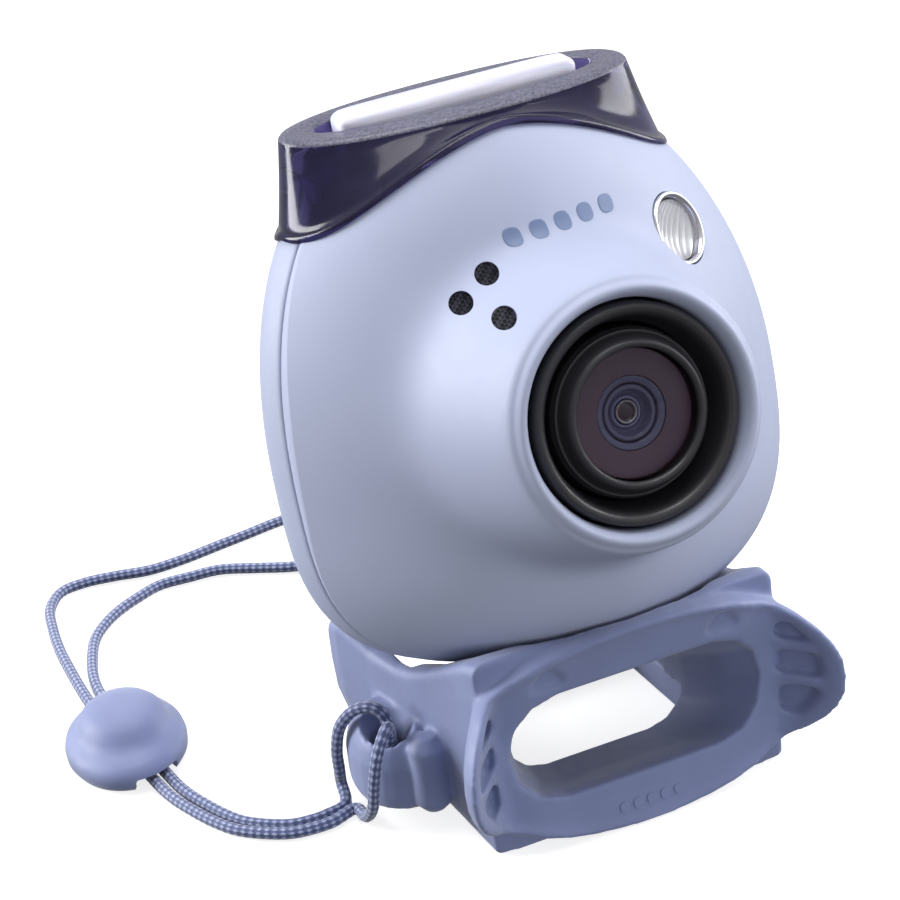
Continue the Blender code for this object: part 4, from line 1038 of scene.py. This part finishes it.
def controls():
    face = REAR_FACE_Y
    button = [(0, 15.25), (2.0, 15.25), (2.0, 15.6), (6.2, 15.6), (6.2, 16.15),
              (SHUTTER_R, 16.25), (SHUTTER_R, face + 1.7), (5.15, face + 2.15),
              (4.4, face + 2.4), (3.4, face + 2.5), (2.0, face + 2.42), (0, face + 2.38)]
    bm = aim(turned(rounded(button, 0.25), 128), (0, 0, 0), (0, 1, 0))
    dress(make_object("shutter_cap", bm, BODY), "accent", "shutter_button", ["shutter_button"])
    ring = [(5.75, 16.55), (6.6, 16.55), (6.6, face + 0.1), (6.4, face + 0.3),
            (5.95, face + 0.3), (5.75, face + 0.1)]
    bm = aim(turned(rounded(ring, 0.12), 128), (0, 0, 0), (0, 1, 0))
    dress(make_object("glow_ring", bm, BODY), "diffuser", "camera", ["shutter_ring"])
    y, z = POWER_AT
    key = [(0, 14.7), (2.9, 14.7), (2.9, 15.3), (1.95, 15.4), (1.95, 19.9), (1.6, 20.15),
           (0, 20.25)]
    bm = aim(turned(rounded(key, 0.2), 72), (0, y, z), (1, 0, 0))
    dress(make_object("power_cap", bm, BODY), "accent", "power_button", ["power_button"])
    nut = [(3.2, -17.5), (4.55, -17.5), (4.55, -12.2), (5.6, -12.2), (5.6, -11.0), (3.2, -11.0)]
    for k in range(6):
        nut.append((3.2, -11.6 - k))
        nut.append((2.95, -12.1 - k))
    bm = aim(turned(nut, 96), (0, 0, 0), (0, 0, 1))
    dress(make_object("threaded_nut", bm, BODY), "brass", "camera", ["tripod_nut"])


# ---------------------------------------------------------------- finger ring

def finger_ring():
    """The ring's solid, remeshed finely and relaxed so that its edges look moulded."""
    node = frame["nodes"]["finger_ring"]
    mesh = node.data.copy()
    mesh.transform(node.matrix_world)
    ring = bpy.data.objects.new("soft_finger_ring", mesh)
    bpy.context.scene.collection.objects.link(ring)
    remesh = ring.modifiers.new("even", 'REMESH')
    remesh.mode = 'VOXEL'
    remesh.voxel_size = RING_VOXEL * MM
    relax = ring.modifiers.new("relax", 'SMOOTH')
    relax.factor = 0.5
    relax.iterations = 7
    apply_modifiers(ring)
    ring.data.shade_smooth()
    return dress(ring, "ring", "ring", ["finger_ring"])


def plate_front(x, z):
    """Front skin of the ring's plate, with a trough and a ramp up to each ear."""
    dish = 1.2 * ((z - RING_HEIGHT / 2) / (RING_HEIGHT / 2)) ** 2
    ear = EAR_RISE * (max(abs(x) - EAR_START, 0.0) / (RING_HALF - EAR_START)) ** 1.15
    trough = 0.5 * math.exp(-((abs(x) - EAR_START) / 1.8) ** 2)
    return PLATE_Y - dish - ear + trough + 0.2


# ---------------------------------------------------------------- generic marks

def decal(name, shapes, skin, lift, paint, body, place):
    """Thin rounded patches that follow a skin y(x, z); shapes are (x, z, half_x, half_z)."""
    parts = []
    for x, z, half_x, half_z in shapes:
        rings = []
        levels = [(1.0, -0.12), (1.0, lift * 0.6)] + [(share, lift) for share in
                                                      (0.93, 0.8, 0.65, 0.5, 0.35, 0.2, 0.08)]
        for share, height in levels:
            ring = []
            for a in angles(40):
                px, pz = superellipse(a, half_x * share, half_z * share, 2.6)
                ring.append((x + px, skin(x + px, z + pz) - height, z + pz))
            rings.append(ring)
        parts.append(loft(rings))
    dress(make_object(name, join(parts), place, 60), paint, body, ())


def marks():
    dots = [(-2.7 + 2.1 * k, 15.9 + 0.1 * k, 0.7, 0.7) for k in range(5)]
    decal("printed_dots", dots, flare_y, 0.05, "mark", "camera", BODY)
    small = [(-2.4 + 1.2 * k, 1.75, 0.42, 0.42) for k in range(5)]
    decal("moulded_dots", small, plate_front, 0.12, "ring", "ring", TABLE)


# ---------------------------------------------------------------- carried-over CAD nodes

SLOT_PAINTS = {
    "shell": "shell", "accent_plastic": "accent", "smoked_plastic": "smoke",
    "diffuser": "diffuser", "black_plastic": "black", "slate_plastic": "slate",
    "lens_glass": "glass", "clear_plastic": "clear", "reflector": "bowl", "mesh": "mesh",
    "circuit_board": "board", "steel": "steel", "brass": "brass", "inner_plastic": "inner",
    "battery_wrap": "foil", "flex_film": "film", "soft_ring": "ring", "cord": "cord"}


def paint_nodes():
    for part in frame["record"]["subparts"]:
        node = frame["nodes"][part["node"]]
        paint = PAINTS[SLOT_PAINTS[part["material_slot"]]]
        if not node.material_slots:
            node.data.materials.append(paint)
        for place in node.material_slots:
            place.material = paint


# ---------------------------------------------------------------- assembly

place_camera()
paint_nodes()
cord, cord_path = wrist_cord()
bead = cord_bead()
front_shell()
rear_shell()
top_window()
lens()
flash()
speaker_meshes()
controls()
finger_ring()
marks()
studio()
